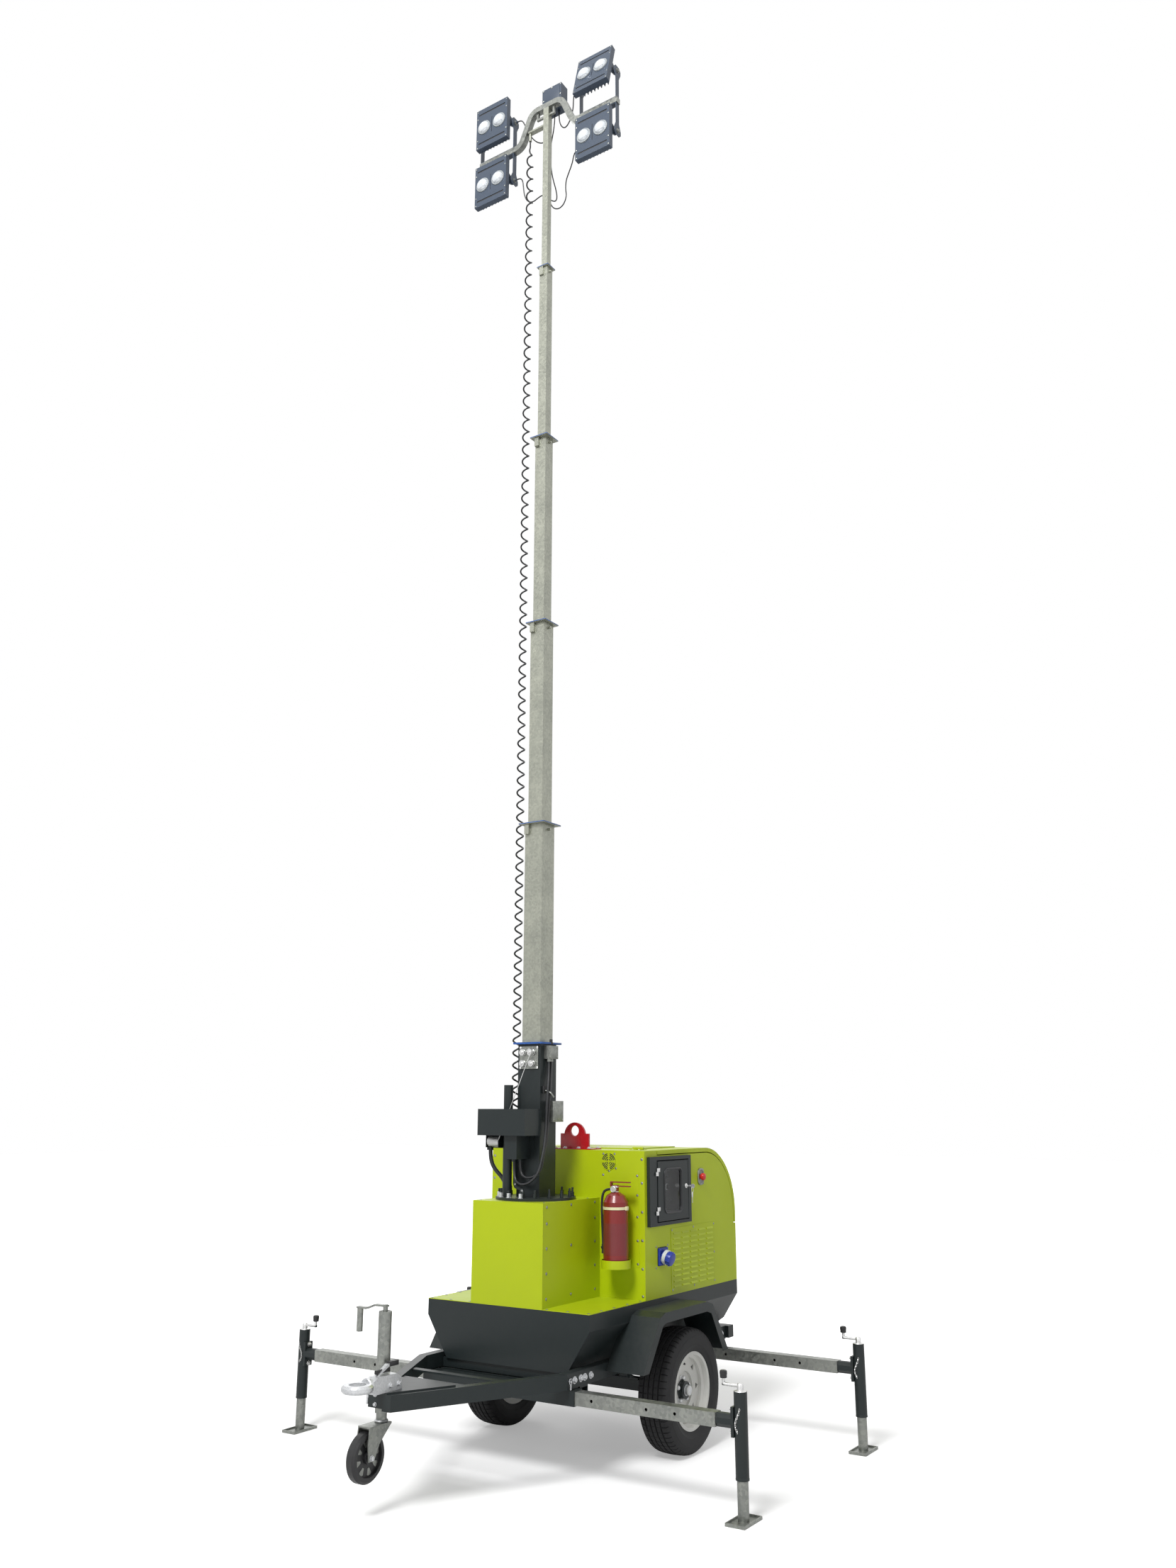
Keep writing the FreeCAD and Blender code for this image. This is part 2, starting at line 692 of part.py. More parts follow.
def wheel(side):
    """Barrel with two lips, a dished disc with holes, the brake drum, the hub and its cap."""
    centre = (0, side * WHEEL_Y, TYRE_R)
    half = RIM_W / 2
    lip = RIM_R + RIM_LIP
    drop = RIM_R - RIM_DROP - RIM_WALL
    barrel = turned([(r, side * a) for r, a in (
        (RIM_R, -half + 6), (lip, -half + 6), (lip, -half), (drop, -half), (drop, half - 34),
        (RIM_R - RIM_WALL, half - 26), (RIM_R - RIM_WALL, half), (lip, half), (lip, half - 6),
        (RIM_R, half - 6))], centre, (0, 1, 0))
    face = 12.0
    dish = face + 14
    edge = drop + 2
    disc_outline = (
        (SPINDLE_R + SPINDLE_FIT, -55), (DRUM_R, -55), (DRUM_R, face - DISC_T), (98, face - DISC_T),
        (98, dish - DISC_T), (edge, dish - DISC_T), (edge, dish), (92, dish), (92, face), (HUB_R, face),
        (HUB_R, face + 28), (CAP_R, face + 28), (CAP_R, face + 50), (0, face + 50), (0, 30.05),
        (SPINDLE_R + SPINDLE_FIT, 30.05))
    disc = turned([(r, side * a) for r, a in disc_outline], centre, (0, 1, 0))
    holes = []
    for i in range(RIM_HOLES):
        angle = 2 * math.pi * i / RIM_HOLES
        corners = []
        for k in range(3):
            a = angle + 2 * math.pi * k / 3
            x = RIM_HOLE_R * math.cos(angle) + RIM_HOLE_SIZE * math.cos(a)
            z = RIM_HOLE_R * math.sin(angle) + RIM_HOLE_SIZE * math.sin(a)
            corners.append((x, centre[1], TYRE_R + z))
        holes.append(slab(corners, (0, side * 60, 0)))
    bolts = []
    for i in range(WHEEL_BOLTS):
        angle = 2 * math.pi * (i + 0.25) / WHEEL_BOLTS
        x = BOLT_CIRCLE_R * math.cos(angle)
        z = TYRE_R + BOLT_CIRCLE_R * math.sin(angle)
        y = centre[1] + side * face
        bolts.append(prism(6, 17, (x, y - side * 2, z), (x, y + side * 18, z)))
    return fuse([barrel, cut(disc, holes)] + bolts)


for name, side in (("left", 1), ("right", -1)):
    keep("tyre_" + name, tyre(side))
    keep("wheel_" + name, wheel(side))


# Tub and deck
def tub_outline(t):
    """The tub's section across, t inside its outer face."""
    return (
        (-TUB_HALF + t, TUB_TOP), (-TUB_HALF + t, BAND_BOTTOM), (-TUB_BOTTOM_HALF + t, TUB_BOTTOM + t),
        (TUB_BOTTOM_HALF - t, TUB_BOTTOM + t), (TUB_HALF - t, BAND_BOTTOM), (TUB_HALF - t, TUB_TOP))


tub = profile_x(tub_outline(0), TUB_REAR, TUB_FRONT)
tub = tub.cut(profile_x(tub_outline(SHEET), TUB_REAR + SHEET, TUB_FRONT - SHEET))
tail_low = ((TUB_REAR - 1, TUB_BOTTOM - 1), (TUB_REAR - 1, TAIL_Z), (TUB_REAR, TAIL_Z),
            (TAIL_X, TUB_BOTTOM), (TAIL_X, TUB_BOTTOM - 1))
tub = tub.cut(profile_y(tail_low, -TUB_HALF, TUB_HALF))
tail = ((TUB_REAR, TAIL_Z), (TAIL_X, TUB_BOTTOM), (TAIL_X, TUB_BOTTOM + SHEET), (TUB_REAR, TAIL_Z + SHEET))
tail_plate = profile_y(tail, -TUB_HALF, TUB_HALF).common(profile_x(tub_outline(0), TUB_REAR, TUB_FRONT))
keep("tub", fuse([tub, tail_plate]))

deck = box(CABIN_FRONT, TUB_FRONT, -TUB_HALF, TUB_HALF, TUB_TOP, DECK_TOP)
opening = BOX_HALF - 20
keep("deck", deck.cut(box(CABIN_FRONT + 20, TUB_FRONT - 20, -opening, opening, TUB_TOP, DECK_TOP)))


# Cabin
def cabin_prism(inset, half_width):
    """The cabin's side view, inset from its outer face, pushed out to both sides."""
    x_front = CABIN_FRONT - inset
    x_rear = TUB_REAR + inset
    top = CABIN_TOP - inset
    r = ARC_R - inset
    middle_x = x_rear + r
    middle_z = top - r
    slant = r * math.sqrt(0.5)
    y = -half_width
    p = [V(x_front, y, TUB_TOP), V(x_front, y, top), V(middle_x, y, top),
         V(middle_x - slant, y, middle_z + slant), V(x_rear, y, middle_z), V(x_rear, y, TUB_TOP)]
    edges = [Part.LineSegment(p[0], p[1]), Part.LineSegment(p[1], p[2]), Part.Arc(p[2], p[3], p[4]),
             Part.LineSegment(p[4], p[5]), Part.LineSegment(p[5], p[0])]
    wire = Part.Wire([e.toShape() for e in edges])
    return Part.Face(wire).extrude(V(0, 2 * half_width, 0))


FAR = 40.0
lid_zone = box(TUB_REAR - FAR, LID_FRONT, -TUB_HALF - FAR, TUB_HALF + FAR, LID_REAR_Z, CABIN_TOP + FAR)
lid_clear = box(TUB_REAR - FAR, LID_FRONT + LID_GAP, -TUB_HALF - FAR, TUB_HALF + FAR,
                LID_REAR_Z - LID_GAP, CABIN_TOP + FAR)
cabin_outer = cabin_prism(0, TUB_HALF)
canopy = cabin_outer.cut(cabin_prism(CABIN_WALL, TUB_HALF - CABIN_WALL))
under_lid = cabin_prism(0, TUB_HALF + 1).cut(cabin_prism(LID_LIP + LID_GAP, TUB_HALF + 2))
canopy = canopy.cut(under_lid.common(lid_clear))
canopy = canopy.cut(box(CONTROL_X[0], CONTROL_X[1], TUB_HALF - FAR, TUB_HALF + FAR,
                        CONTROL_Z[0], CONTROL_Z[1]))

# The lid's hinges: fixed knuckles with a pin on the roof, one knuckle each on the lid
PIVOT_Z = CABIN_TOP + HINGE_R + 0.5
hinge_x = LID_FRONT + LID_GAP / 2
LEAF_PLATE = 3.0
fixed_parts = []
lid_parts = []
lid_bores = []
for y in HINGE_Y:
    fixed_parts.append(box(hinge_x + HINGE_R + 1, hinge_x + 40, y - HINGE_HALF, y + HINGE_HALF,
                           CABIN_TOP, CABIN_TOP + LEAF_PLATE))
    for end in SIDES:
        a = y + end * KNUCKLE
        b = y + end * HINGE_HALF
        fixed_parts.append(prism(8, 2 * HINGE_R, (hinge_x, a, PIVOT_Z), (hinge_x, b, PIVOT_Z)))
        fixed_parts.append(box(hinge_x, hinge_x + HINGE_R + 2, a, b, CABIN_TOP, PIVOT_Z))
    fixed_parts.append(rod(HINGE_PIN_R, (hinge_x, y - KNUCKLE - 5, PIVOT_Z),
                           (hinge_x, y + KNUCKLE + 5, PIVOT_Z)))
    w = KNUCKLE - 0.4
    lid_parts.append(prism(8, 2 * HINGE_R, (hinge_x, y - w, PIVOT_Z), (hinge_x, y + w, PIVOT_Z)))
    lid_parts.append(box(hinge_x - 38, hinge_x - HINGE_R - 1, y - HINGE_HALF, y + HINGE_HALF,
                         CABIN_TOP, CABIN_TOP + LEAF_PLATE))
    lid_parts.append(box(hinge_x - HINGE_R - 2, hinge_x - 2, y - w, y + w, CABIN_TOP, PIVOT_Z))
    lid_bores.append(rod(HINGE_PIN_R + PIN_CLEAR, (hinge_x, y - w - 1, PIVOT_Z),
                         (hinge_x, y + w + 1, PIVOT_Z)))

# A round vent and a bolted access panel on the front wall
vent = prism(12, VENT_SIZE, (CABIN_FRONT, VENT_Y, VENT_Z), (CABIN_FRONT + 4, VENT_Y, VENT_Z))
access = box(CABIN_FRONT, CABIN_FRONT + ACCESS_T, ACCESS_Y[0], ACCESS_Y[1], ACCESS_Z[0], ACCESS_Z[1])
keep("canopy", fuse([canopy, vent, access] + fixed_parts))

lid = cabin_outer.cut(cabin_prism(LID_SHEET, TUB_HALF - LID_SHEET)).cut(cabin_prism(LID_LIP, TUB_HALF + 1))
lid = lid.common(lid_zone)
panel = box(LID_PANEL[0], LID_PANEL[1], -LID_PANEL[2], LID_PANEL[2], CABIN_TOP, CABIN_TOP + PANEL_T)
keep("hood", cut(fuse([lid, panel] + lid_parts), lid_bores))

# Control box, set into the wall and standing a little proud, and its door
box_back = CONTROL_FACE - CONTROL_DEPTH
control = box(CONTROL_X[0], CONTROL_X[1], box_back, CONTROL_FACE, CONTROL_Z[0], CONTROL_Z[1])
control = control.cut(box(DOOR_X[0] - DOOR_GAP, DOOR_X[1] + DOOR_GAP,
                          box_back + CONTROL_BACK, CONTROL_FACE + 1,
                          DOOR_Z[0] - DOOR_GAP, DOOR_Z[1] + DOOR_GAP))
px = DOOR_X[1] + DOOR_GAP + 1
py = CONTROL_FACE + 5
knuckle = 2 * DOOR_KNUCKLE_R
box_parts = []
door_parts = []
door_bores = []
for z in DOOR_HINGE_Z:
    box_parts.append(prism(8, knuckle, (px, py, z - 20), (px, py, z)))
    box_parts.append(rod(DOOR_PIN_R, (px, py, z - 2), (px, py, z + 20)))
    box_parts.append(box(px, px + 18, CONTROL_FACE - 1, py, z - 20, z))
    door_parts.append(prism(8, knuckle, (px, py, z + 0.4), (px, py, z + 20)))
    door_parts.append(box(px - 26, px - 0.5, DOOR_FACE, DOOR_FACE + 2.5, z + 0.4, z + 20))
    door_bores.append(rod(DOOR_PIN_R + PIN_CLEAR, (px, py, z), (px, py, z + 21)))
keep("control_box", fuse([control] + box_parts))
door = box(DOOR_X[0], DOOR_X[1], DOOR_FACE - DOOR_T, DOOR_FACE, DOOR_Z[0], DOOR_Z[1])
window = box(WINDOW_X[0], WINDOW_X[1], DOOR_FACE - DOOR_T, DOOR_FACE, WINDOW_Z[0], WINDOW_Z[1])
window = window.makeFillet(WINDOW_R, [e for e in window.Edges if abs(e.Vertexes[0].Y - e.Vertexes[1].Y) > 1])
keep("control_door", cut(fuse([door.cut(window)] + door_parts), door_bores))
glass_y = DOOR_FACE - DOOR_T + GLASS_T
keep("door_glass", window.common(box(WINDOW_X[0], WINDOW_X[1], glass_y, glass_y + GLASS_T,
                                     WINDOW_Z[0], WINDOW_Z[1])))

# Socket, stop button and louvres
plate = box(SOCKET_X - 45, SOCKET_X + 45, TUB_HALF, TUB_HALF + 12, SOCKET_Z - 43, SOCKET_Z + 43)
cap = rod(SOCKET_R, (SOCKET_X, TUB_HALF + 11, SOCKET_Z), (SOCKET_X, TUB_HALF + 60, SOCKET_Z - 14))
keep("power_socket", fuse([plate, cap]))
plate = prism(16, 92, (STOP_X, TUB_HALF, STOP_Z), (STOP_X, TUB_HALF + 6, STOP_Z))
button = rod(STOP_R, (STOP_X, TUB_HALF + 6, STOP_Z), (STOP_X, TUB_HALF + 32, STOP_Z))
keep("stop_button", fuse([plate, button]))

slot_x = (LOUVRE_X[1] - LOUVRE_X[0] - 28) / LOUVRE_COLUMNS
slot_z = (LOUVRE_Z[1] - LOUVRE_Z[0] - 28) / LOUVRE_ROWS
panels = []
for side in SIDES:
    face = side * (TUB_HALF + LOUVRE_T)
    parts = [box(LOUVRE_X[0], LOUVRE_X[1], side * TUB_HALF, face, LOUVRE_Z[0], LOUVRE_Z[1])]
    for i in range(LOUVRE_COLUMNS):
        x = LOUVRE_X[0] + 14 + (i + 0.5) * slot_x - SLOT_LENGTH / 2
        for j in range(LOUVRE_ROWS):
            z = LOUVRE_Z[0] + 14 + (j + 0.5) * slot_z - SLOT_HEIGHT / 2
            hood = ((face - side, z), (face + side * SLOT_OUT, z), (face - side, z + SLOT_HEIGHT))
            parts.append(profile_x(hood, x, x + SLOT_LENGTH))
    panels.append(fuse(parts))
keep("louvre_panels", Part.makeCompound(panels))

# Mast box, and the engine and generator
mast_box = box(CABIN_FRONT, TUB_FRONT, -BOX_HALF, BOX_HALF, DECK_TOP, BOX_TOP)
mast_box = mast_box.cut(box(CABIN_FRONT + SHEET, TUB_FRONT - SHEET, -BOX_HALF + SHEET, BOX_HALF - SHEET,
                            DECK_TOP, BOX_TOP - SHEET))
hole = BASE_HALF + 1
keep("mast_box", mast_box.cut(box(MAST_X - hole, MAST_X + hole, -hole, hole, BOX_TOP - 20, BOX_TOP)))
engine_low = TUB_BOTTOM + SHEET
keep("engine_block", box(ENGINE_X[0], ENGINE_X[1], -ENGINE_HALF, ENGINE_HALF,
                         engine_low, engine_low + ENGINE_H))


# Mast base and sections
def square_ring(half, gap, low, high):
    """A square ring around the mast's axis."""
    ring = box(MAST_X - half, MAST_X + half, -half, half, low, high)
    return ring.cut(box(MAST_X - gap, MAST_X + gap, -gap, gap, low, high))


def mouth_rings(outer, wall, inner, lip, top):
    """The plate on the mouth of a tube and the slide pad inside it, each a piece of its own on its seat."""
    gap = inner / 2 + PAD_FIT
    return [
        square_ring(outer / 2 + lip, gap, top + PAD_SEAT, top + COLLAR_T),
        square_ring(outer / 2 - wall - PAD_SEAT, gap, top - PAD_H, top),
    ]


def collar(outer, wall, inner, lip, top):
    """The rings at the mouth of a section, and the pulley block and the peg that sit under its plate."""
    block_y = -outer / 2 + 4
    if lip < BLOCK_OUT + 2:
        block_out = lip - 2
    else:
        block_out = BLOCK_OUT
    seat = outer / 2 + PAD_SEAT
    out = outer / 2 + block_out
    peg_z = top - BLOCK_H / 2
    return mouth_rings(outer, wall, inner, lip, top) + [
        box(MAST_X + seat, MAST_X + out, block_y, block_y + BLOCK_W, top - BLOCK_H, top),
        prism(6, 14, (MAST_X, seat, peg_z), (MAST_X, out, peg_z)),
    ]


flange = rod(FLANGE_R, (MAST_X, 0, BOX_TOP), (MAST_X, 0, FLANGE_TOP))
flange_gap = BASE_HALF + PAD_SEAT
flange = flange.cut(box(MAST_X - flange_gap, MAST_X + flange_gap, -flange_gap, flange_gap,
                        BOX_TOP - 1, FLANGE_TOP + 1))
base = square_tube(BASE_SIZE, BASE_WALL, TUB_BOTTOM + SHEET, BASE_TOP, MAST_X, 0)
bolts = []
for i in range(FLANGE_BOLTS):
    a = 2 * math.pi * (i + 0.5) / FLANGE_BOLTS
    x = MAST_X + (FLANGE_R - 18) * math.cos(a)
    y = (FLANGE_R - 18) * math.sin(a)
    bolts.append(prism(6, FLANGE_BOLT, (x, y, FLANGE_TOP + PAD_SEAT), (x, y, FLANGE_TOP + 22)))
base_rings = mouth_rings(BASE_SIZE, BASE_WALL, SECTIONS[0][1], BASE_LIP, BASE_TOP)
post_top = TRAY_TOP + POST_PAST_TRAY
post = rod(POST_R, (POST_X, POST_Y, FLANGE_TOP + STAND_GAP), (POST_X, POST_Y, post_top))
keep("mast_base", Part.makeCompound([base, flange, post] + base_rings + bolts))

top = BASE_TOP
for i, (name, size, wall, lip) in enumerate(SECTIONS):
    low = top - OVERLAP
    if lip:
        top = top + STEP
        tube = square_tube(size, wall, low, top, MAST_X, 0)
        tube = Part.makeCompound([tube] + collar(size, wall, SECTIONS[i + 1][1], lip, top))
    else:
        tube = square_tube(size, wall, low, MAST_TOP, MAST_X, 0)
        bracket = box(MAST_X - HANGER_HALF, MAST_X + HANGER_HALF, COIL_Y - GLAND_R + 2, 1 - size / 2,
                      HANGER_Z, HANGER_Z + HANGER_T)
        gland = rod(GLAND_R, (MAST_X, COIL_Y, COIL_HIGH), (MAST_X, COIL_Y, HANGER_Z + HANGER_T))
        tube = fuse([tube, bracket, gland])
    keep(name, tube)

# Light bar, with a small welded frame under it at each side of the mast, and the head box
b = BAR / 2
bar_path, bends = rounded_path((
    (MAST_X, -BAR_END, BAR_LOW_Z), (MAST_X, -BAR_BEND_OUT, BAR_LOW_Z), (MAST_X, -BAR_BEND_IN, BAR_HIGH_Z),
    (MAST_X, BAR_BEND_IN, BAR_HIGH_Z), (MAST_X, BAR_BEND_OUT, BAR_LOW_Z), (MAST_X, BAR_END, BAR_LOW_Z)),
    BAR_BEND_R)
square = [V(MAST_X + u, -BAR_END, BAR_LOW_Z + v) for u, v in ((-b, -b), (b, -b), (b, b), (-b, b), (-b, -b))]
light_bar = [bar_path.makePipeShell([Part.makePolygon(square)], True, False)]
last_half = SECTIONS[-1][1] / 2
frame_low = MAST_TOP - FRAME_DROP
f = FRAME_BAR / 2
for inner, outer in ((last_half + YOKE_CLEAR, 60), (-last_half - YOKE_CLEAR, -85)):
    side = 1 if outer > 0 else -1
    light_bar.append(box(MAST_X - f, MAST_X + f, inner, outer, frame_low, frame_low + FRAME_BAR))
    light_bar.append(box(MAST_X - f, MAST_X + f, outer, outer - side * FRAME_BAR, frame_low, MAST_TOP + b))
keep("light_bar", fuse(light_bar))

head_back = MAST_X - b
head_low = BAR_HIGH_Z - HEAD_BELOW_BAR
head = [box(head_back - HEAD_T, head_back, HEAD_Y[0], HEAD_Y[1], head_low, head_low + HEAD_H)]
for y in HEAD_GLAND_Y:
    head.append(prism(6, GLAND_ACROSS, (HEAD_GLAND_X, y, head_low - GLAND_LENGTH),
                      (HEAD_GLAND_X, y, head_low + 1)))
keep("head_box", fuse(head))


# Yokes and lamps
def yoke(side, way):
    """A U of flat bar on the light bar, with a fan-shaped plate at each pivot."""
    y = side * LAMP_Y
    z0 = BAR_LOW_Z + way * BAR / 2
    pivot = BAR_LOW_Z + way * LAMP_PIVOT
    w = YOKE_W / 2
    reach = YOKE_REACH + YOKE_T
    parts = [box(MAST_X - w, MAST_X + w, y - reach, y + reach, z0, z0 + way * YOKE_T)]
    fan = ((-w, -60), (-38, -12), (-38, 14), (-20, 34), (20, 34), (38, 14), (38, -12), (w, -60))
    outline = [(MAST_X - w, z0)] + [(MAST_X + u, pivot + way * v) for u, v in fan] + [(MAST_X + w, z0)]
    for end in SIDES:
        parts.append(profile_y(outline, y + end * YOKE_REACH, y + end * reach))
    gland_y = side * (LAMP_Y - reach)
    parts.append(prism(6, GLAND_ACROSS, (MAST_X, gland_y + side, pivot), (MAST_X, gland_y - side * 18, pivot)))
    return fuse(parts)


keep("lamp_yokes", Part.makeCompound([yoke(side, way) for side in SIDES for way in SIDES]))


def lamp(side, way, tilt):
    """A flat housing with two domed lenses in front, fins behind and a pivot stub at each side."""
    y = side * LAMP_Y
    z = BAR_LOW_Z + way * LAMP_PIVOT
    face = MAST_X + LAMP_FACE
    back = face - LAMP_DEPTH
    w = LAMP_W / 2
    h = LAMP_H / 2
    body = box(back, face, y - w, y + w, z - h, z + h)
    for end in SIDES:
        low, high = sorted((end * GROOVE_Z[0], end * GROOVE_Z[1]))
        body = body.cut(box(face - GROOVE_DEPTH, face, y - GROOVE_HALF, y + GROOVE_HALF, z + low, z + high))
    body = body.cut(box(face - GROOVE_DEPTH, face, y - 2, y + 2, z - 62, z + 62))
    parts = [body]
    count = int((LAMP_W - 30) / FIN_PITCH)
    for i in range(count + 1):
        fin_y = y + (i - count / 2) * FIN_PITCH
        parts.append(box(back - FIN_DEPTH, back + 1, fin_y - FIN_T / 2, fin_y + FIN_T / 2,
                         z - h + FIN_SHORT, z + h - FIN_SHORT))
    ear = ((back + 1, z - EAR_HALF), (back + 1, z + EAR_HALF), (MAST_X - 6, z + 20), (MAST_X - 20, z),
           (MAST_X - 6, z - 20))
    for end in SIDES:
        parts.append(profile_y(ear, y + end * (w - 14), y + end * (w - 14 + EAR_T)))
        stub_end = w + YOKE_GAP - YOKE_CLEAR
        parts.append(rod(STUB_R, (MAST_X, y + end * (w - 10), z), (MAST_X, y + end * stub_end, z)))
        lens_y = y + end * LENS_Y
        parts.append(prism(16, 2 * BEZEL_R, (face - 1, lens_y, z), (face + BEZEL_T, lens_y, z)))
        lens_x = (face + BEZEL_T - 1, face + 0.6 * LENS_RISE, face + LENS_RISE)
        parts.append(frustum(12, 2 * LENS_R, 1.7 * LENS_R, (lens_x[0], lens_y, z), (lens_x[1], lens_y, z)))
        parts.append(frustum(12, 1.7 * LENS_R, 0.8 * LENS_R, (lens_x[1], lens_y, z), (lens_x[2], lens_y, z)))
    shape = fuse(parts)
    shape.rotate(V(MAST_X, y, z), V(0, 1, 0), -tilt)
    return shape


for name, side, way, tilt in LAMPS:
    keep(name, lamp(side, way, tilt))

# Spiral cable beside the mast, from the tray's floor to the bracket on the top section
keep("spiral_cable", rod(COIL_R, (MAST_X, COIL_Y, COIL_LOW), (MAST_X, COIL_Y, COIL_HIGH)))

# Tray for the cable's loose turns, round the post
t = TRAY_T
tray_side = -BASE_HALF - TRAY_OFF_BASE
tray_outline = (
    (TRAY_REAR, TRAY_RIGHT), (TRAY_FRONT, TRAY_RIGHT), (TRAY_FRONT, TRAY_LEFT),
    (BASE_FRONT, TRAY_LEFT), (BASE_FRONT, tray_side), (TRAY_REAR, tray_side))
inner_outline = (
    (TRAY_REAR + t, TRAY_RIGHT + t), (TRAY_FRONT - t, TRAY_RIGHT + t), (TRAY_FRONT - t, TRAY_LEFT - t),
    (BASE_FRONT + t, TRAY_LEFT - t), (BASE_FRONT + t, tray_side - t), (TRAY_REAR + t, tray_side - t))
tray = profile_z(tray_outline, TRAY_BOTTOM, TRAY_TOP).cut(profile_z(inner_outline, COIL_LOW, TRAY_TOP + 1))
keep("cable_basket", tray.cut(rod(POST_R + 1, (POST_X, POST_Y, TRAY_BOTTOM - 1), (POST_X, POST_Y, TRAY_TOP))))

# Winch under the tray: gear housing, back plate, drum between two cheeks, glands and a drain pipe
gear_low = TRAY_BOTTOM - GEAR_H
plate_low = TRAY_BOTTOM - WINCH_PLATE_H
drum_x = BASE_FRONT + DRUM_X
drum_z = TRAY_BOTTOM - DRUM_BELOW
winch = [
    box(BASE_FRONT, BASE_FRONT + GEAR_X, GEAR_Y[0], GEAR_Y[1], gear_low, TRAY_BOTTOM),
    box(BASE_FRONT, BASE_FRONT + WINCH_PLATE_T, DRUM_Y[0] - CHEEK_T, 40, plate_low, TRAY_BOTTOM),
    rod(DRUM_R_WINCH, (drum_x, DRUM_Y[0], drum_z), (drum_x, DRUM_Y[1], drum_z)),
    box(640, 660, DRUM_Y[0] - CHEEK_T, -204, 1522, 1541),
]
for y in DRUM_Y:
    winch.append(box(BASE_FRONT, BASE_FRONT + CHEEK_OUT, y - CHEEK_T, y, TRAY_BOTTOM - CHEEK_H, TRAY_BOTTOM))
for thick, route in MAST_CABLES[:2]:
    x, y, z = route[-1]
    winch.append(prism(6, thick + 6, (x, y, z), (x, y, gear_low + 1)))
drain, run, bends = swept(6, DRAIN_PIPE, ((640, -56, gear_low + 1), (640, -56, 1338),
                                          (672, 18, 1325), (672, 18, FLANGE_TOP + STAND_GAP)), DRAIN_BEND)
keep("winch", fuse(winch + [drain]))

# Fittings on the base: junction plate, small box and the pulley plate
junction = [box(476, 568, BASE_HALF, BASE_HALF + 30, BASE_TOP - 80, BASE_TOP - 9)]
for thick, route in MAST_CABLES[:2]:
    x, y, z = route[0]
    junction.append(prism(6, thick + 4, (x, y, z), (x, y, BASE_TOP - 79)))
latch_front = BASE_FRONT + 6
latch = [box(BASE_FRONT, latch_front, -62, 62, BASE_TOP - 133, BASE_TOP - 13)]
for y in (-34, 26):
    for z in (BASE_TOP - 105, BASE_TOP - 46):
        latch.append(prism(8, 30, (latch_front - 1, y, z), (latch_front + 20, y, z)))
keep("mast_fittings", Part.makeCompound([
    fuse(junction),
    box(436, 539, BASE_HALF, BASE_HALF + 40, TRAY_TOP - 68, TRAY_TOP + 42),
    fuse(latch),
]))

# Lifting eye on the roof
lift_z = CABIN_TOP + 75
hole_z = CABIN_TOP + 100
lift = [
    box(LIFT_X - 70, LIFT_X + 45, LIFT_Y - 130, LIFT_Y + 130, CABIN_TOP, CABIN_TOP + 6),
    box(LIFT_X - LIFT_T / 2, LIFT_X + LIFT_T / 2, LIFT_Y - 95, LIFT_Y + 95, CABIN_TOP, CABIN_TOP + 85),
    rod(LIFT_R, (LIFT_X - LIFT_T / 2, LIFT_Y, lift_z), (LIFT_X + LIFT_T / 2, LIFT_Y, lift_z)),
]
lift_hole = rod(LIFT_HOLE, (LIFT_X - 10, LIFT_Y, hole_z), (LIFT_X + 10, LIFT_Y, hole_z))
keep("lifting_eye", fuse(lift).cut(lift_hole))

# Extinguisher and its ring
ext_top = EXT_Z + EXT_H
bottle = turned((
    (0, EXT_Z + STAND_GAP), (EXT_R, EXT_Z + STAND_GAP), (EXT_R, ext_top - 6), (EXT_R - 18, ext_top + 28),
    (20, ext_top + 45), (0, ext_top + 45)), (EXT_X, EXT_Y, 0), (0, 0, 1))
neck = prism(6, 30, (EXT_X, EXT_Y, ext_top + 44), (EXT_X, EXT_Y, ext_top + 80))
grips = [box(EXT_X - 9, EXT_X + 9, EXT_Y - 30, EXT_Y + 90, ext_top + z, ext_top + z + 6) for z in (72, 92)]
grips.append(box(EXT_X - 9, EXT_X + 9, EXT_Y - 30, EXT_Y - 22, ext_top + 72, ext_top + 98))
keep("extinguisher", fuse([bottle, neck] + grips))
ring_in = EXT_R + RING_GAP
ring_out = ring_in + RING_WALL
ring_low = EXT_Z - RING_WALL
ring = turned((
    (0, ring_low), (ring_out, ring_low), (ring_out, ring_low + RING_H), (ring_in, ring_low + RING_H),
    (ring_in, EXT_Z), (0, EXT_Z)), (EXT_X, EXT_Y, 0), (0, 0, 1))
strut_x = CABIN_FRONT + ACCESS_T
strut = box(strut_x, EXT_X - ring_in - 1, EXT_Y - 30, EXT_Y + 30, ring_low, ring_low + RING_H)
strut = strut.cut(rod(ring_in + 1, (EXT_X, EXT_Y, ring_low - 1), (EXT_X, EXT_Y, ring_low + RING_H + 1)))
keep("extinguisher_ring", fuse([ring, strut]))


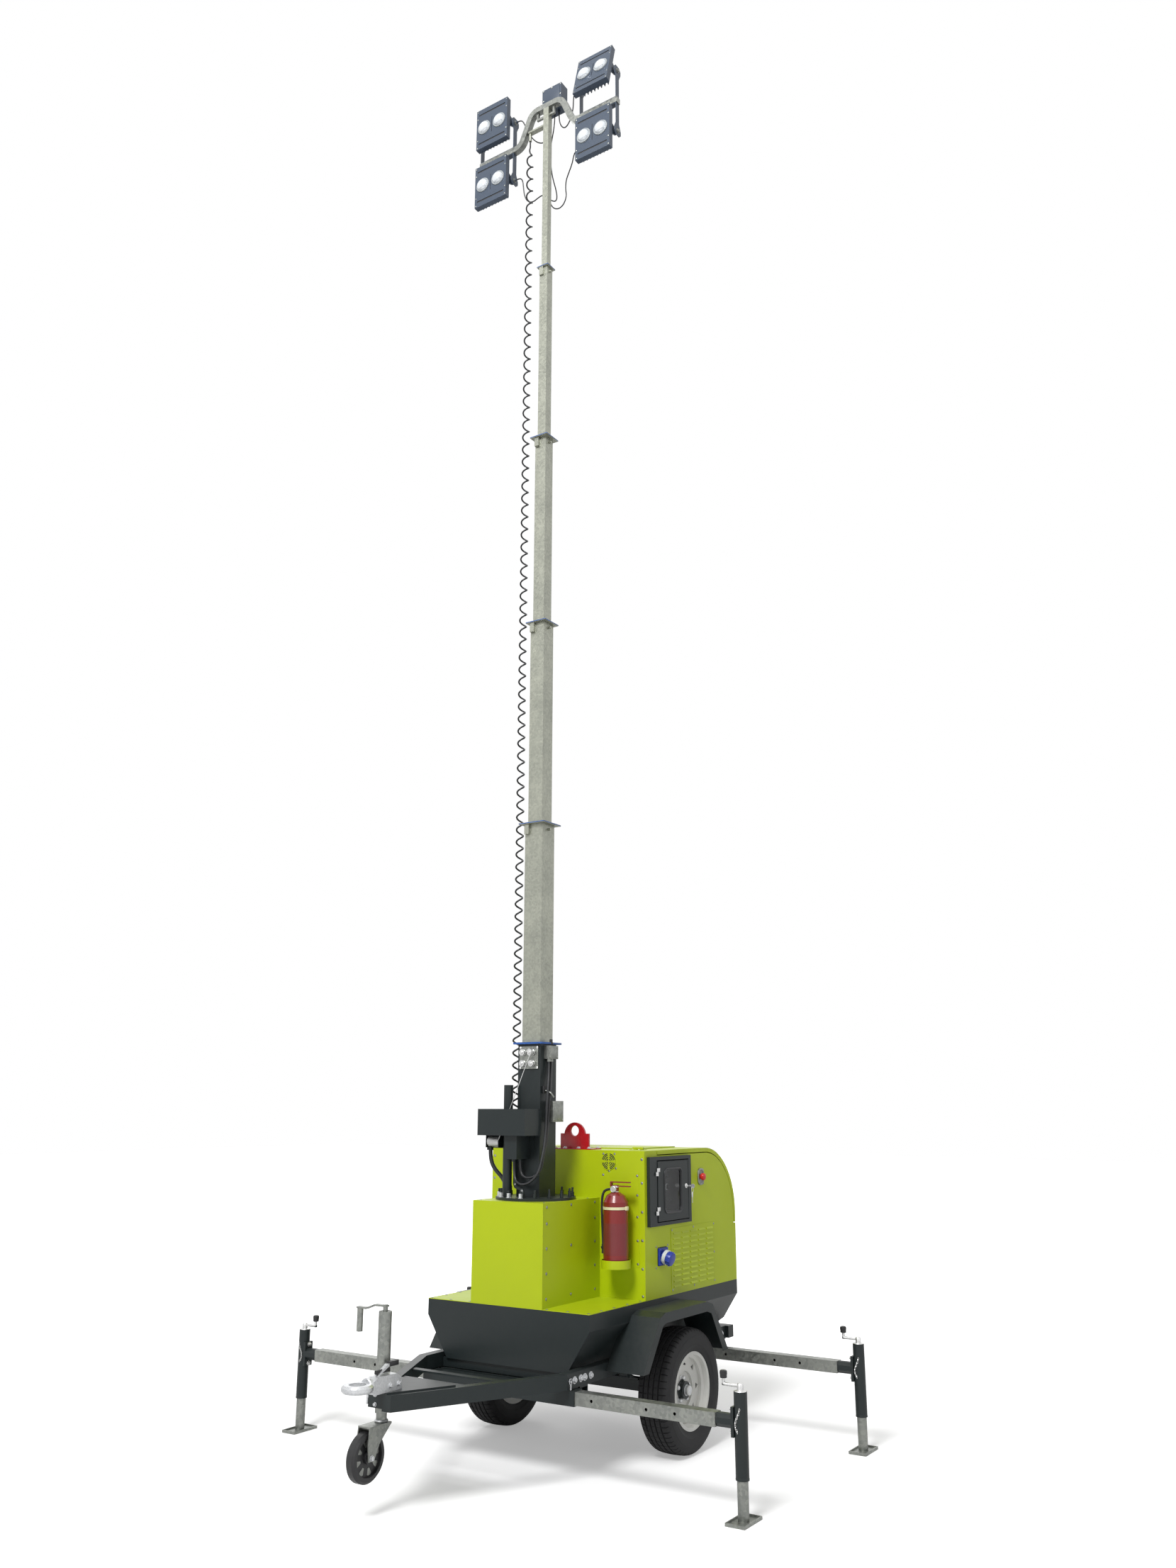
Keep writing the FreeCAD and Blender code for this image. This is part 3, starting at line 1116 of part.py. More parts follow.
# Fenders
def fender(side):
    """A bent sheet arch over the wheel, with a skirt along its outer edge."""
    inner_line = []
    for i, (x, z) in enumerate(FENDER_LINE):
        if i in (0, len(FENDER_LINE) - 1):
            inner_line.append((x - FENDER_T * 1.2 * (1 if x > 0 else -1), z))
        else:
            inner_line.append((x - FENDER_T * 0.5 * (1 if x > 0 else -1), z - FENDER_T))
    inner_line.reverse()
    y0 = side * (RAIL_Y + RAIL_T / 2 + FENDER_GAP)
    y1 = side * (WHEEL_Y + TYRE_W / 2 + FENDER_PAST_TYRE)
    arch = profile_y(list(FENDER_LINE) + inner_line, y0, y1)
    skirt = profile_y(list(FENDER_LINE) + list(reversed(FENDER_SKIRT)), y1 - side * FENDER_T, y1)
    return fuse([arch, skirt]).cut(profile_x(tub_outline(-FENDER_GAP), TUB_REAR, TUB_FRONT))


keep("fenders", Part.makeCompound([fender(side) for side in SIDES]))

# Outriggers: arm, jack with its crank, and foot
for name, side, x, foot_y in OUTRIGGERS:
    jack_y = side * foot_y
    arm_end = jack_y - side * ARM_TO_JACK
    arm_start = side * (SOCKET_MOUTH - ARM_INSIDE)
    h = ARM / 2
    c = h - ARM_WALL
    arm = box(x - h, x + h, arm_start, arm_end, ARM_Z - h, ARM_Z + h)
    arm = arm.cut(box(x - c, x + c, arm_start, arm_end, ARM_Z - c, ARM_Z + c))
    end_plate = box(x - h, x + h, arm_end - side * END_PLATE_T, arm_end, ARM_Z - h, ARM_Z + h)
    boss_start = jack_y - side * JACK / 2
    pin = rod(PIN_R, (x, arm_end - side * END_PLATE_T / 2, ARM_Z), (x, boss_start - side * 2, ARM_Z))
    arm = fuse([arm, end_plate, pin])
    for past in PEG_HOLE_Y:
        hole_y = side * (SOCKET_MOUTH + past)
        arm = arm.cut(prism(8, PEG_HOLE, (x - h - 1, hole_y, ARM_Z), (x + h + 1, hole_y, ARM_Z)))
    keep("outrigger_arm_" + name, arm)

    jack = rod(JACK / 2, (x, jack_y, JACK_BOTTOM), (x, jack_y, JACK_TOP))
    boss_end = arm_end + side * 1.0
    boss = prism(8, BOSS, (x, boss_start + side * 6, ARM_Z), (x, boss_end, ARM_Z))
    web = box(x - WEB_W / 2, x + WEB_W / 2, boss_start + side * 6, boss_start - side * WEB_T,
              ARM_Z - WEB_H / 2, ARM_Z + WEB_H / 2)
    bolt_parts = []
    for way in SIDES:
        bolt_z = ARM_Z + way * (WEB_H / 2 - 13)
        bolt_parts.append(prism(6, 14, (x, boss_start - side * (WEB_T - 1), bolt_z),
                                (x, boss_start - side * (WEB_T + 8), bolt_z)))
    crank_z = JACK_TOP + CRANK_RISE
    knob_y = jack_y - side * CRANK_REACH
    crank = [
        prism(6, CRANK + 4, (x, jack_y, JACK_TOP - 2), (x, jack_y, crank_z + CRANK / 2)),
        prism(6, CRANK, (x, jack_y, crank_z), (x, knob_y - side * CRANK / 2, crank_z)),
        prism(6, CRANK, (x, knob_y, crank_z), (x, knob_y, crank_z + 26)),
        prism(8, KNOB, (x, knob_y, crank_z + 25), (x, knob_y, crank_z + 25 + KNOB_H)),
    ]
    jack = fuse([jack, boss, web] + bolt_parts + crank)
    jack = jack.cut(rod(LEG_R + LEG_FIT, (x, jack_y, JACK_BOTTOM - 1), (x, jack_y, JACK_TOP - JACK_CAP)))
    bore_start = boss_start - side * 1.9
    keep("jack_" + name, jack.cut(rod(PIN_R + PIN_FIT, (x, bore_start, ARM_Z), (x, boss_end - side, ARM_Z))))

    leg = rod(LEG_R, (x, jack_y, FOOT_T - 1), (x, jack_y, LEG_TOP))
    fx = FOOT_X / 2
    fy = FOOT_Y / 2
    foot = box(x - fx, x + fx, jack_y - fy, jack_y + fy, 0, FOOT_RIM)
    inside_x = fx - FOOT_WALL
    inside_y = fy - FOOT_WALL
    foot = foot.cut(box(x - inside_x, x + inside_x, jack_y - inside_y, jack_y + inside_y,
                        FOOT_T, FOOT_RIM + 1))
    keep("foot_" + name, fuse([leg, foot]))

# Jockey wheel: sleeve with its crank, stem, fork and wheel
sleeve = pipe(SLEEVE_R, STEM_R + SLEEVE_FIT, (JOCKEY_X, JOCKEY_Y, SLEEVE_BOTTOM),
              (JOCKEY_X, JOCKEY_Y, SLEEVE_TOP))
handle_y = JOCKEY_Y - 155
crank = [
    prism(8, 2 * SLEEVE_R - 4, (JOCKEY_X, JOCKEY_Y, SLEEVE_TOP - 8), (JOCKEY_X, JOCKEY_Y, SLEEVE_TOP - 2)),
    prism(6, 20, (JOCKEY_X, JOCKEY_Y, SLEEVE_TOP - 3), (JOCKEY_X, JOCKEY_Y, SLEEVE_TOP + 28)),
    profile_x(((JOCKEY_Y + 12, SLEEVE_TOP + 18), (JOCKEY_Y + 12, SLEEVE_TOP + 26),
               (JOCKEY_Y - 60, SLEEVE_TOP + 26), (JOCKEY_Y - 110, SLEEVE_TOP + 8),
               (JOCKEY_Y - 170, SLEEVE_TOP + 8), (JOCKEY_Y - 170, SLEEVE_TOP),
               (JOCKEY_Y - 112, SLEEVE_TOP), (JOCKEY_Y - 62, SLEEVE_TOP + 18)),
              JOCKEY_X - 12, JOCKEY_X + 12),
    prism(8, 28, (JOCKEY_X, handle_y, SLEEVE_TOP - 100), (JOCKEY_X, handle_y, SLEEVE_TOP + 1)),
]
keep("jockey_sleeve", fuse([sleeve] + crank))
fork_plate = 6.0
stem_low = FORK_TOP + fork_plate + YOKE_CLEAR
keep("jockey_stem", rod(STEM_R, (JOCKEY_X, JOCKEY_Y, stem_low), (JOCKEY_X, JOCKEY_Y, STEM_TOP)))
wheel_x = JOCKEY_X + JOCKEY_TRAIL
fork_in = JOCKEY_W / 2 + FORK_GAP
fork_out = fork_in + FORK_T
fork = [box(JOCKEY_X - 30, wheel_x + 16, JOCKEY_Y - fork_out, JOCKEY_Y + fork_out,
            FORK_TOP, FORK_TOP + fork_plate)]
cheek = ((JOCKEY_X - 30, FORK_TOP + 1), (wheel_x + 16, FORK_TOP + 1), (wheel_x + 26, FORK_TOP - 60),
         (wheel_x + 18, JOCKEY_Z - 14), (wheel_x - 18, JOCKEY_Z - 14), (wheel_x - 50, FORK_TOP - 70))
for end in SIDES:
    fork.append(profile_y(cheek, JOCKEY_Y + end * fork_in, JOCKEY_Y + end * fork_out))
fork.append(rod(JOCKEY_PIN_R, (wheel_x, JOCKEY_Y - fork_out, JOCKEY_Z),
                (wheel_x, JOCKEY_Y + fork_out, JOCKEY_Z)))
keep("jockey_fork", fuse(fork))
half = JOCKEY_W / 2
tread_outline = ((JOCKEY_PIN_R + PIN_CLEAR, half), (26, half), (26, 10), (80, 10), (80, half),
                 (JOCKEY_R - 10, half), (JOCKEY_R, half - 10))
keep("jockey_wheel", turned(mirrored(tread_outline), (wheel_x, JOCKEY_Y, JOCKEY_Z), (0, 1, 0)))

# Towing eye: cast housing on the nose plate, shank, ring and hand lever
cast_low = RAIL_TOP + PLATE_T
housing = profile_y(((NOSE_X - 110, cast_low), (NOSE_X - 104, EYE_Z + 8), (NOSE_X - 70, EYE_Z + 30),
                     (NOSE_X + 50, EYE_Z + 30), (NOSE_X + 84, EYE_Z + 14), (NOSE_X + 84, EYE_Z - 26),
                     (NOSE_X + 66, cast_low)), -27, 27)
shank = rod(SHANK_R, (NOSE_X, 0, EYE_Z), (EYE_X - EYE_OUT + 8, 0, EYE_Z))
lever = profile_y(((NOSE_X + 30, EYE_Z + 29), (NOSE_X + 44, EYE_Z + 29), (NOSE_X - 30, EYE_Z + 72),
                   (NOSE_X - 96, EYE_Z + 78), (NOSE_X - 96, EYE_Z + 66), (NOSE_X - 34, EYE_Z + 60)), -10, 10)
half = EYE_T / 2
eye_outline = ((EYE_HOLE, half), (EYE_OUT - EYE_CHAMFER, half), (EYE_OUT, half - EYE_CHAMFER))
ring = turned(mirrored(eye_outline), (EYE_X, 0, EYE_Z), (0, 0, 1))
eye_hole = rod(EYE_HOLE, (EYE_X, 0, EYE_Z - EYE_T), (EYE_X, 0, EYE_Z + EYE_T))
keep("coupling", fuse([shank, housing, ring, lever]).cut(eye_hole))


# Cables on the mast base and leads of the lamps
def cables(name, sides, routes):
    shapes = []
    for thick, route in routes:
        shape, run, bends = swept(sides, thick, route)
        section = sides / 4 * math.tan(math.pi / sides) * thick ** 2
        print(name, "length", round(run), "radii", [round(r) for r in bends],
              "volume over section times length", round(shape.Volume / section / run, 3))
        shapes.append(shape)
    keep(name, Part.makeCompound(shapes))


cables("mast_cables", 6, MAST_CABLES)
cables("lamp_leads", 4, LAMP_LEADS)

# Everything moves together to the middle of the footprint
CORDS = ("spiral_cable", "mast_cables", "lamp_leads")
whole = FreeCAD.BoundBox()
for name, shape in pieces.items():
    if name not in CORDS:
        whole.add(shape.optimalBoundingBox(False, False))
shift = V(-(whole.XMin + whole.XMax) / 2, -(whole.YMin + whole.YMax) / 2, -whole.ZMin)
print("shift", shift, "size", whole.XLength, whole.YLength, whole.ZLength)
for name, shape in pieces.items():
    shape.translate(shift)
    shape.exportStep(os.path.join(OUT, name + ".step"))
    litres = round(shape.Volume / 1e6, 3)
    print(name, "solids", len(shape.Solids), "valid", shape.isValid(), "volume", litres)
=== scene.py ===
# %% [markdown]
# # A mobile light tower
# The tower is a small trailer with a mast that runs out to more than eight metres. The solid
# model comes in as a fixed frame, and this lesson dresses it: it gives each piece its finish and
# adds the small things that solids leave out, such as the spiral cable, screws, tread and pulleys.

# %% Load the frame
import json
import math

import bmesh
import bpy
from mathutils import Matrix, Vector


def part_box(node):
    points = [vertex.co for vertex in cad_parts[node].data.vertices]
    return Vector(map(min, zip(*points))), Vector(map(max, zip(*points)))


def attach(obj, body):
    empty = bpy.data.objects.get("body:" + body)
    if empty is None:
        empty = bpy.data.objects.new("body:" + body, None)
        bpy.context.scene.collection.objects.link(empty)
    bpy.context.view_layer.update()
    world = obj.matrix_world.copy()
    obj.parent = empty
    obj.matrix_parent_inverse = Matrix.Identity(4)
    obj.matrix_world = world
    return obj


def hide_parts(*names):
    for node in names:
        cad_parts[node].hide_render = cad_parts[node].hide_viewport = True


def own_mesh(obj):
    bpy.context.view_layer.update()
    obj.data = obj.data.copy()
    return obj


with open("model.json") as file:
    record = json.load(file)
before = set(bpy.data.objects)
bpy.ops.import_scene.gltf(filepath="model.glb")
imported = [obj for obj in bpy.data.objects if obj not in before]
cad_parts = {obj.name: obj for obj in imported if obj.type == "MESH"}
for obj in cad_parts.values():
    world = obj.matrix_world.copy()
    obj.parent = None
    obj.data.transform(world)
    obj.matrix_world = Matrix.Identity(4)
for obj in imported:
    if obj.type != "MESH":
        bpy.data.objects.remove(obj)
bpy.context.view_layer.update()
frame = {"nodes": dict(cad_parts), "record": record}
nodes = frame["nodes"]
print("pieces of the frame:", len(nodes))

# %% [markdown]
# Sizes on a trailer are easiest to read from the middle of its axle, so the places below are
# written from there: x runs towards the towing eye, y to the left side, z up. The small pieces are
# placed in millimetres, as on a drawing.

# %% Places from the axle
low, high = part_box("axle")
AXLE = Vector(((low.x + high.x) / 2, (low.y + high.y) / 2, 0))
MAST_X = 525.5
FORE, LEFT, UP = (1, 0, 0), (0, 1, 0), (0, 0, 1)


def at(x, y, z):
    """A place in metres from the axle's middle."""
    return AXLE + Vector((x, y, z))


def mm(x, y, z):
    """A place in millimetres from the axle's middle."""
    return at(x / 1000, y / 1000, z / 1000)


print("axle's middle:", tuple(round(v, 4) for v in AXLE))

# %% [markdown]
# The photograph was taken from standing height with the camera tilted up, so the mast leans
# together towards the top. The camera's place, its heading and its lens were worked out from the
# edges of the tower, and are only written down here.

# %% Camera
PHOTO_HEIGHT_PX, FOCAL_PX, SENSOR_MM = 2212.0, 1762.0, 36.0
CAMERA_PLACE = (6.2835, 4.0765, 1.7497)
HEADING, TILT, ROLL = 33.04, 14.49, 0.07


def new_object(name, data):
    """An object for some data, put in the scene."""
    obj = bpy.data.objects.new(name, data)
    bpy.context.scene.collection.objects.link(obj)
    return obj


camera_data = bpy.data.cameras.new("camera")
camera_data.sensor_fit = "VERTICAL"
camera_data.sensor_height = SENSOR_MM
camera_data.lens = SENSOR_MM * FOCAL_PX / PHOTO_HEIGHT_PX
camera_data.clip_end = 200.0
camera = new_object("camera", camera_data)
heading, tilt = math.radians(HEADING), math.radians(TILT)
look = Vector((-math.cos(heading) * math.cos(tilt), -math.sin(heading) * math.cos(tilt), math.sin(tilt)))
aim = look.to_track_quat("-Z", "Y").to_matrix().to_4x4()
stand = Matrix.Translation(at(*CAMERA_PLACE)) @ aim
camera.matrix_world = stand @ Matrix.Rotation(math.radians(ROLL), 4, "Z")
bpy.context.scene.camera = camera
print("camera at", tuple(round(v, 3) for v in camera.location))

# %% [markdown]
# ## Helpers
# Most small pieces are made point by point in bmesh, Blender's mesh kit, because rows of them can
# then be placed by a loop. A piece is finished by one function, which also says which body it
# rides on and which finish it belongs to.

# %% Mesh helpers
def finish_piece(name, bm, body, material, angle=35):
    """Turn a bmesh into a piece that rides on a body; faces under the angle are shaded smooth."""
    mesh = bpy.data.meshes.new(name)
    bmesh.ops.recalc_face_normals(bm, faces=bm.faces)
    bm.to_mesh(mesh)
    bm.free()
    mesh.shade_smooth()
    mesh.set_sharp_from_angle(angle=math.radians(angle))
    mesh.materials.append(material)
    obj = new_object(name, mesh)
    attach(obj, body)
    return obj


def add_slab(bm, x, y, z, bevel=0.0):
    """A block from pairs of places in millimetres, with its edges rounded off."""
    low, high = mm(x[0], y[0], z[0]), mm(x[1], y[1], z[1])
    verts = bmesh.ops.create_cube(bm, size=1.0)["verts"]
    bmesh.ops.scale(bm, vec=high - low, verts=verts)
    bmesh.ops.translate(bm, vec=(low + high) / 2, verts=verts)
    if bevel:
        edges = list(dict.fromkeys(e for v in verts for e in v.link_edges))
        bmesh.ops.bevel(bm, geom=edges, offset=bevel / 1000, segments=2, profile=0.5, affect="EDGES")


def around(side, other, i, steps):
    """The way at step i of a full turn that starts along side and goes by other."""
    a = 2 * math.pi * i / steps
    return side * math.cos(a) + other * math.sin(a)


def add_skin(bm, loops, closed=False):
    """Faces between neighbouring loops; a closed row of loops joins its two ends as well."""
    for one, two in zip(loops, loops[1:] + (loops[:1] if closed else [])):
        for k in range(len(one)):
            j = (k + 1) % len(one)
            bm.faces.new((one[k], one[j], two[j], two[k]))


def add_lathe(bm, start, way, rings, sides=24):
    """A turned form in metres: rings are (distance along the axis, radius) from the start point."""
    way = Vector(way).normalized()
    side = way.orthogonal().normalized()
    other = way.cross(side)
    loops = []
    for along, radius in rings:
        centre = Vector(start) + way * along
        if radius == 0:
            loops.append([bm.verts.new(centre)])
        else:
            ring = [centre + around(side, other, i, sides) * radius for i in range(sides)]
            loops.append([bm.verts.new(place) for place in ring])
    for one, two in zip(loops, loops[1:]):
        for i in range(sides):
            j = (i + 1) % sides
            if len(one) == 1:
                bm.faces.new((one[0], two[i], two[j]))
            elif len(two) == 1:
                bm.faces.new((one[i], one[j], two[0]))
            else:
                bm.faces.new((one[i], one[j], two[j], two[i]))
    for loop in (loops[0], loops[-1]):
        if len(loop) > 1:
            bm.faces.new(loop)


def add_turned(bm, start, way, rings, sides=24):
    """A turned form whose rings are written in millimetres."""
    add_lathe(bm, start, way, [(along / 1000, radius / 1000) for along, radius in rings], sides)


def add_rod(bm, start, end, radius, sides=16):
    start, end = Vector(start), Vector(end)
    add_lathe(bm, start, end - start, [(0, radius), ((end - start).length, radius)], sides)


def add_bolt(bm, place, way, radius=0.006, height=0.005):
    """A hexagon head on a washer, standing on a surface."""
    add_lathe(bm, place, way, [(0, radius * 1.5), (radius * 0.25, radius * 1.5)], 14)
    add_lathe(bm, place, way, [(radius * 0.2, radius), (height, radius), (height * 1.15, radius * 0.8)], 6)


def add_screw(bm, place, way, radius=0.006):
    """A low domed screw head with a thin washer."""
    add_lathe(bm, place, way, [(0, radius * 1.35), (0.0008, radius * 1.35), (0.001, radius),
                               (radius * 0.35, radius * 0.8), (radius * 0.5, radius * 0.35),
                               (radius * 0.5, 0)], 12)


def add_screws(bm, xs, ys, zs, way, radius):
    """Screws at every place of a grid in millimetres."""
    for x in xs:
        for y in ys:
            for z in zs:
                add_screw(bm, mm(x, y, z), way, radius)


def add_tube(bm, points, radius, sides=10):
    """A round tube through a row of points, with flat ends."""
    points = [Vector(p) for p in points]
    side = (points[1] - points[0]).orthogonal().normalized()
    loops = []
    for i, p in enumerate(points):
        way = (points[min(i + 1, len(points) - 1)] - points[max(i - 1, 0)]).normalized()
        side = (side - way * side.dot(way)).normalized()
        other = way.cross(side)
        loops.append([bm.verts.new(p + around(side, other, k, sides) * radius) for k in range(sides)])
    add_skin(bm, loops)
    bm.faces.new(loops[0])
    bm.faces.new(loops[-1])


def route_curve(name, places, resolution):
    """A smooth curve with its control points at the places, from the first to the last."""
    data = bpy.data.curves.new(name, "CURVE")
    data.dimensions = "3D"
    spline = data.splines.new("NURBS")
    spline.points.add(len(places) - 1)
    for point, place in zip(spline.points, places):
        point.co = (*place, 1)
    spline.order_u = 3
    spline.use_endpoint_u = True
    spline.resolution_u = resolution
    return data


def smooth_line(places, resolution=12):
    """Points along the smooth curve that a route's control points make."""
    data = route_curve("route", places, resolution)
    holder = bpy.data.objects.new("route", data)
    mesh = bpy.data.meshes.new_from_object(holder)
    line = [v.co.copy() for v in mesh.vertices]
    bpy.data.objects.remove(holder)
    bpy.data.meshes.remove(mesh)
    bpy.data.curves.remove(data)
    return line


# %% [markdown]
# ## Finishes
# Several finishes share the same effects. Powder coat has a fine orange-peel skin, everything
# outdoors gathers a little dust on what faces up, and zinc shows grains. Each effect is a node
# group with named inputs and outputs, built once and placed in each material with its own values.

# %% Group helpers
def new_group(name, inputs, outputs):
    group = bpy.data.node_groups.new(name, "ShaderNodeTree")
    for label, kind, value in inputs:
        socket = group.interface.new_socket(label, in_out="INPUT", socket_type=kind)
        socket.default_value = value
    for label, kind in outputs:
        group.interface.new_socket(label, in_out="OUTPUT", socket_type=kind)
    return group, group.nodes.new("NodeGroupInput"), group.nodes.new("NodeGroupOutput")


def node(tree, kind, **values):
    """A node with its settings; a name with a leading underscore sets an input."""
    made = tree.nodes.new(kind)
    for key, value in values.items():
        if key.startswith("_"):
            made.inputs[key[1:]].default_value = value
        else:
            setattr(made, key, value)
    return made


def noise(tree, coords, scale, detail=3.0, roughness=0.55):
    made = node(tree, "ShaderNodeTexNoise", _Scale=scale, _Detail=detail, _Roughness=roughness)
    tree.links.new(coords, made.inputs["Vector"])
    return made.outputs["Fac"]


def scaled(tree, value, low_in, high_in, low_out, high_out):
    made = node(tree, "ShaderNodeMapRange")
    tree.links.new(value, made.inputs["Value"])
    limits = {"From Min": low_in, "From Max": high_in, "To Min": low_out, "To Max": high_out}
    for label, number in limits.items():
        made.inputs[label].default_value = number
    return made.outputs["Result"]


def mixed(tree, factor, one, two):
    """A colour between two others; each is a tuple or comes from a node."""
    made = node(tree, "ShaderNodeMix", data_type="RGBA")
    for socket, value in ((made.inputs[0], factor), (made.inputs[6], one), (made.inputs[7], two)):
        if isinstance(value, tuple):
            socket.default_value = (*value, 1.0)
        else:
            tree.links.new(value, socket)
    return made.outputs[2]


def maths(tree, what, one, two):
    made = node(tree, "ShaderNodeMath", operation=what)
    for socket, value in zip(made.inputs, (one, two)):
        if isinstance(value, (int, float)):
            socket.default_value = value
        else:
            tree.links.new(value, socket)
    return made.outputs[0]


# %% Weathering: dust on what faces up, and dull patches
DUST_COLOR = (0.42, 0.39, 0.33)
GRIME_COLOR = (0.03, 0.03, 0.028)
weathering, enter, leave = new_group(
    "weathering",
    (("Color", "NodeSocketColor", (0.5, 0.5, 0.5, 1)), ("Roughness", "NodeSocketFloat", 0.4),
     ("Dust", "NodeSocketFloat", 0.3), ("Mottle", "NodeSocketFloat", 0.1)),
    (("Color", "NodeSocketColor"), ("Roughness", "NodeSocketFloat")))
place = node(weathering, "ShaderNodeTexCoord").outputs["Object"]
patches = scaled(weathering, noise(weathering, place, 3.1, 5.0, 0.6), 0.35, 0.7, 0.0, 1.0)
fine = scaled(weathering, noise(weathering, place, 46.0, 4.0, 0.7), 0.3, 0.75, 0.0, 1.0)
parts_of = node(weathering, "ShaderNodeSeparateXYZ")
weathering.links.new(node(weathering, "ShaderNodeNewGeometry").outputs["Normal"], parts_of.inputs[0])
upward = scaled(weathering, parts_of.outputs[2], 0.35, 1.0, 0.12, 1.0)
dust = maths(weathering, "MULTIPLY", maths(weathering, "MULTIPLY", upward, fine), enter.outputs["Dust"])
mottle = maths(weathering, "MULTIPLY", patches, enter.outputs["Mottle"])
darker = mixed(weathering, mottle, enter.outputs["Color"], GRIME_COLOR)
weathering.links.new(mixed(weathering, dust, darker, DUST_COLOR), leave.inputs["Color"])
rougher = maths(weathering, "ADD", enter.outputs["Roughness"], maths(weathering, "MULTIPLY", dust, 0.5))
uneven = scaled(weathering, patches, 0.0, 1.0, -0.03, 0.05)
weathering.links.new(maths(weathering, "ADD", rougher, uneven), leave.inputs["Roughness"])
print("group:", weathering.name)

# %% Coat skin: the fine orange peel of sprayed or powder paint
coat_skin, enter, leave = new_group(
    "coat_skin", (("Peel", "NodeSocketFloat", 0.3), ("Size", "NodeSocketFloat", 260.0)),
    (("Height", "NodeSocketFloat"),))
place = node(coat_skin, "ShaderNodeTexCoord").outputs["Object"]
peel = node(coat_skin, "ShaderNodeTexNoise", _Detail=1.5)
coat_skin.links.new(place, peel.inputs["Vector"])
coat_skin.links.new(enter.outputs["Size"], peel.inputs["Scale"])
waves = noise(coat_skin, place, 9.0, 1.0)
height = maths(coat_skin, "MULTIPLY", peel.outputs["Fac"], enter.outputs["Peel"])
swell = maths(coat_skin, "MULTIPLY", waves, 1.2)
coat_skin.links.new(maths(coat_skin, "ADD", height, swell), leave.inputs["Height"])
print("group:", coat_skin.name)

# %% Zinc grain: the crystals of hot-dip galvanising
zinc_grain, enter, leave = new_group(
    "zinc_grain",
    (("Light", "NodeSocketColor", (0.6, 0.6, 0.58, 1)), ("Dark", "NodeSocketColor", (0.36, 0.37, 0.37, 1)),
     ("Size", "NodeSocketFloat", 55.0)),
    (("Color", "NodeSocketColor"), ("Roughness", "NodeSocketFloat"), ("Height", "NodeSocketFloat")))
place = node(zinc_grain, "ShaderNodeTexCoord").outputs["Object"]
cells = node(zinc_grain, "ShaderNodeTexVoronoi")
zinc_grain.links.new(place, cells.inputs["Vector"])
zinc_grain.links.new(enter.outputs["Size"], cells.inputs["Scale"])
split = node(zinc_grain, "ShaderNodeSeparateColor")
zinc_grain.links.new(cells.outputs["Color"], split.inputs[0])
cloud = noise(zinc_grain, place, 6.0, 5.0, 0.6)
blotch = maths(zinc_grain, "ADD", maths(zinc_grain, "MULTIPLY", split.outputs[0], 0.35),
               maths(zinc_grain, "MULTIPLY", cloud, 0.9))
factor = scaled(zinc_grain, blotch, 0.25, 0.95, 0.0, 1.0)
crystals = mixed(zinc_grain, factor, enter.outputs["Dark"], enter.outputs["Light"])
zinc_grain.links.new(crystals, leave.inputs["Color"])
zinc_grain.links.new(scaled(zinc_grain, split.outputs[1], 0.0, 1.0, 0.32, 0.5), leave.inputs["Roughness"])
zinc_grain.links.new(maths(zinc_grain, "ADD", cloud, maths(zinc_grain, "MULTIPLY", split.outputs[2], 0.15)),
                     leave.inputs["Height"])
print("group:", zinc_grain.name)


# %% [markdown]
# The finishes themselves are short: each has one Principled shader. A value that is the same all
# over the surface is set on the shader, and what changes over the surface comes from the groups.

# %% Finishes
def base_material(name, metallic=0.0, coat=0.0, specular=0.5):
    material = bpy.data.materials.new(name)
    material.use_nodes = True
    shader = material.node_tree.nodes["Principled BSDF"]
    shader.inputs["Metallic"].default_value = metallic
    shader.inputs["Coat Weight"].default_value = coat
    shader.inputs["Coat Roughness"].default_value = 0.12
    shader.inputs["Specular IOR Level"].default_value = specular
    return material, material.node_tree, shader


def bumped(tree, shader, height, strength, distance):
    bump = node(tree, "ShaderNodeBump", _Strength=strength, _Distance=distance)
    tree.links.new(height, bump.inputs["Height"])
    tree.links.new(bump.outputs["Normal"], shader.inputs["Normal"])


def place_group(tree, group, **values):
    made = node(tree, "ShaderNodeGroup", node_tree=group)
    for key, value in values.items():
        made.inputs[key].default_value = (*value, 1.0) if isinstance(value, tuple) else value
    return made


def paint(name, color, roughness, coat=0.0, dust=0.25, mottle=0.08, peel=0.3, specular=0.5):
    """Paint or powder coat: weathered colour over an orange-peel skin."""
    material, tree, shader = base_material(name, coat=coat, specular=specular)
    weather = place_group(tree, weathering, Color=color, Roughness=roughness, Dust=dust, Mottle=mottle)
    tree.links.new(weather.outputs["Color"], shader.inputs["Base Color"])
    tree.links.new(weather.outputs["Roughness"], shader.inputs["Roughness"])
    skin = place_group(tree, coat_skin, Peel=peel)
    bumped(tree, shader, skin.outputs["Height"], 0.35, 0.0006)
    return material


def zinc(name, light, dark, size, metallic=0.85):
    """Galvanised steel: grains of different brightness and sheen."""
    material, tree, shader = base_material(name, metallic=metallic)
    grain = place_group(tree, zinc_grain, Light=light, Dark=dark, Size=size)
    tree.links.new(grain.outputs["Color"], shader.inputs["Base Color"])
    tree.links.new(grain.outputs["Roughness"], shader.inputs["Roughness"])
    bumped(tree, shader, grain.outputs["Height"], 0.3, 0.0012)
    return material


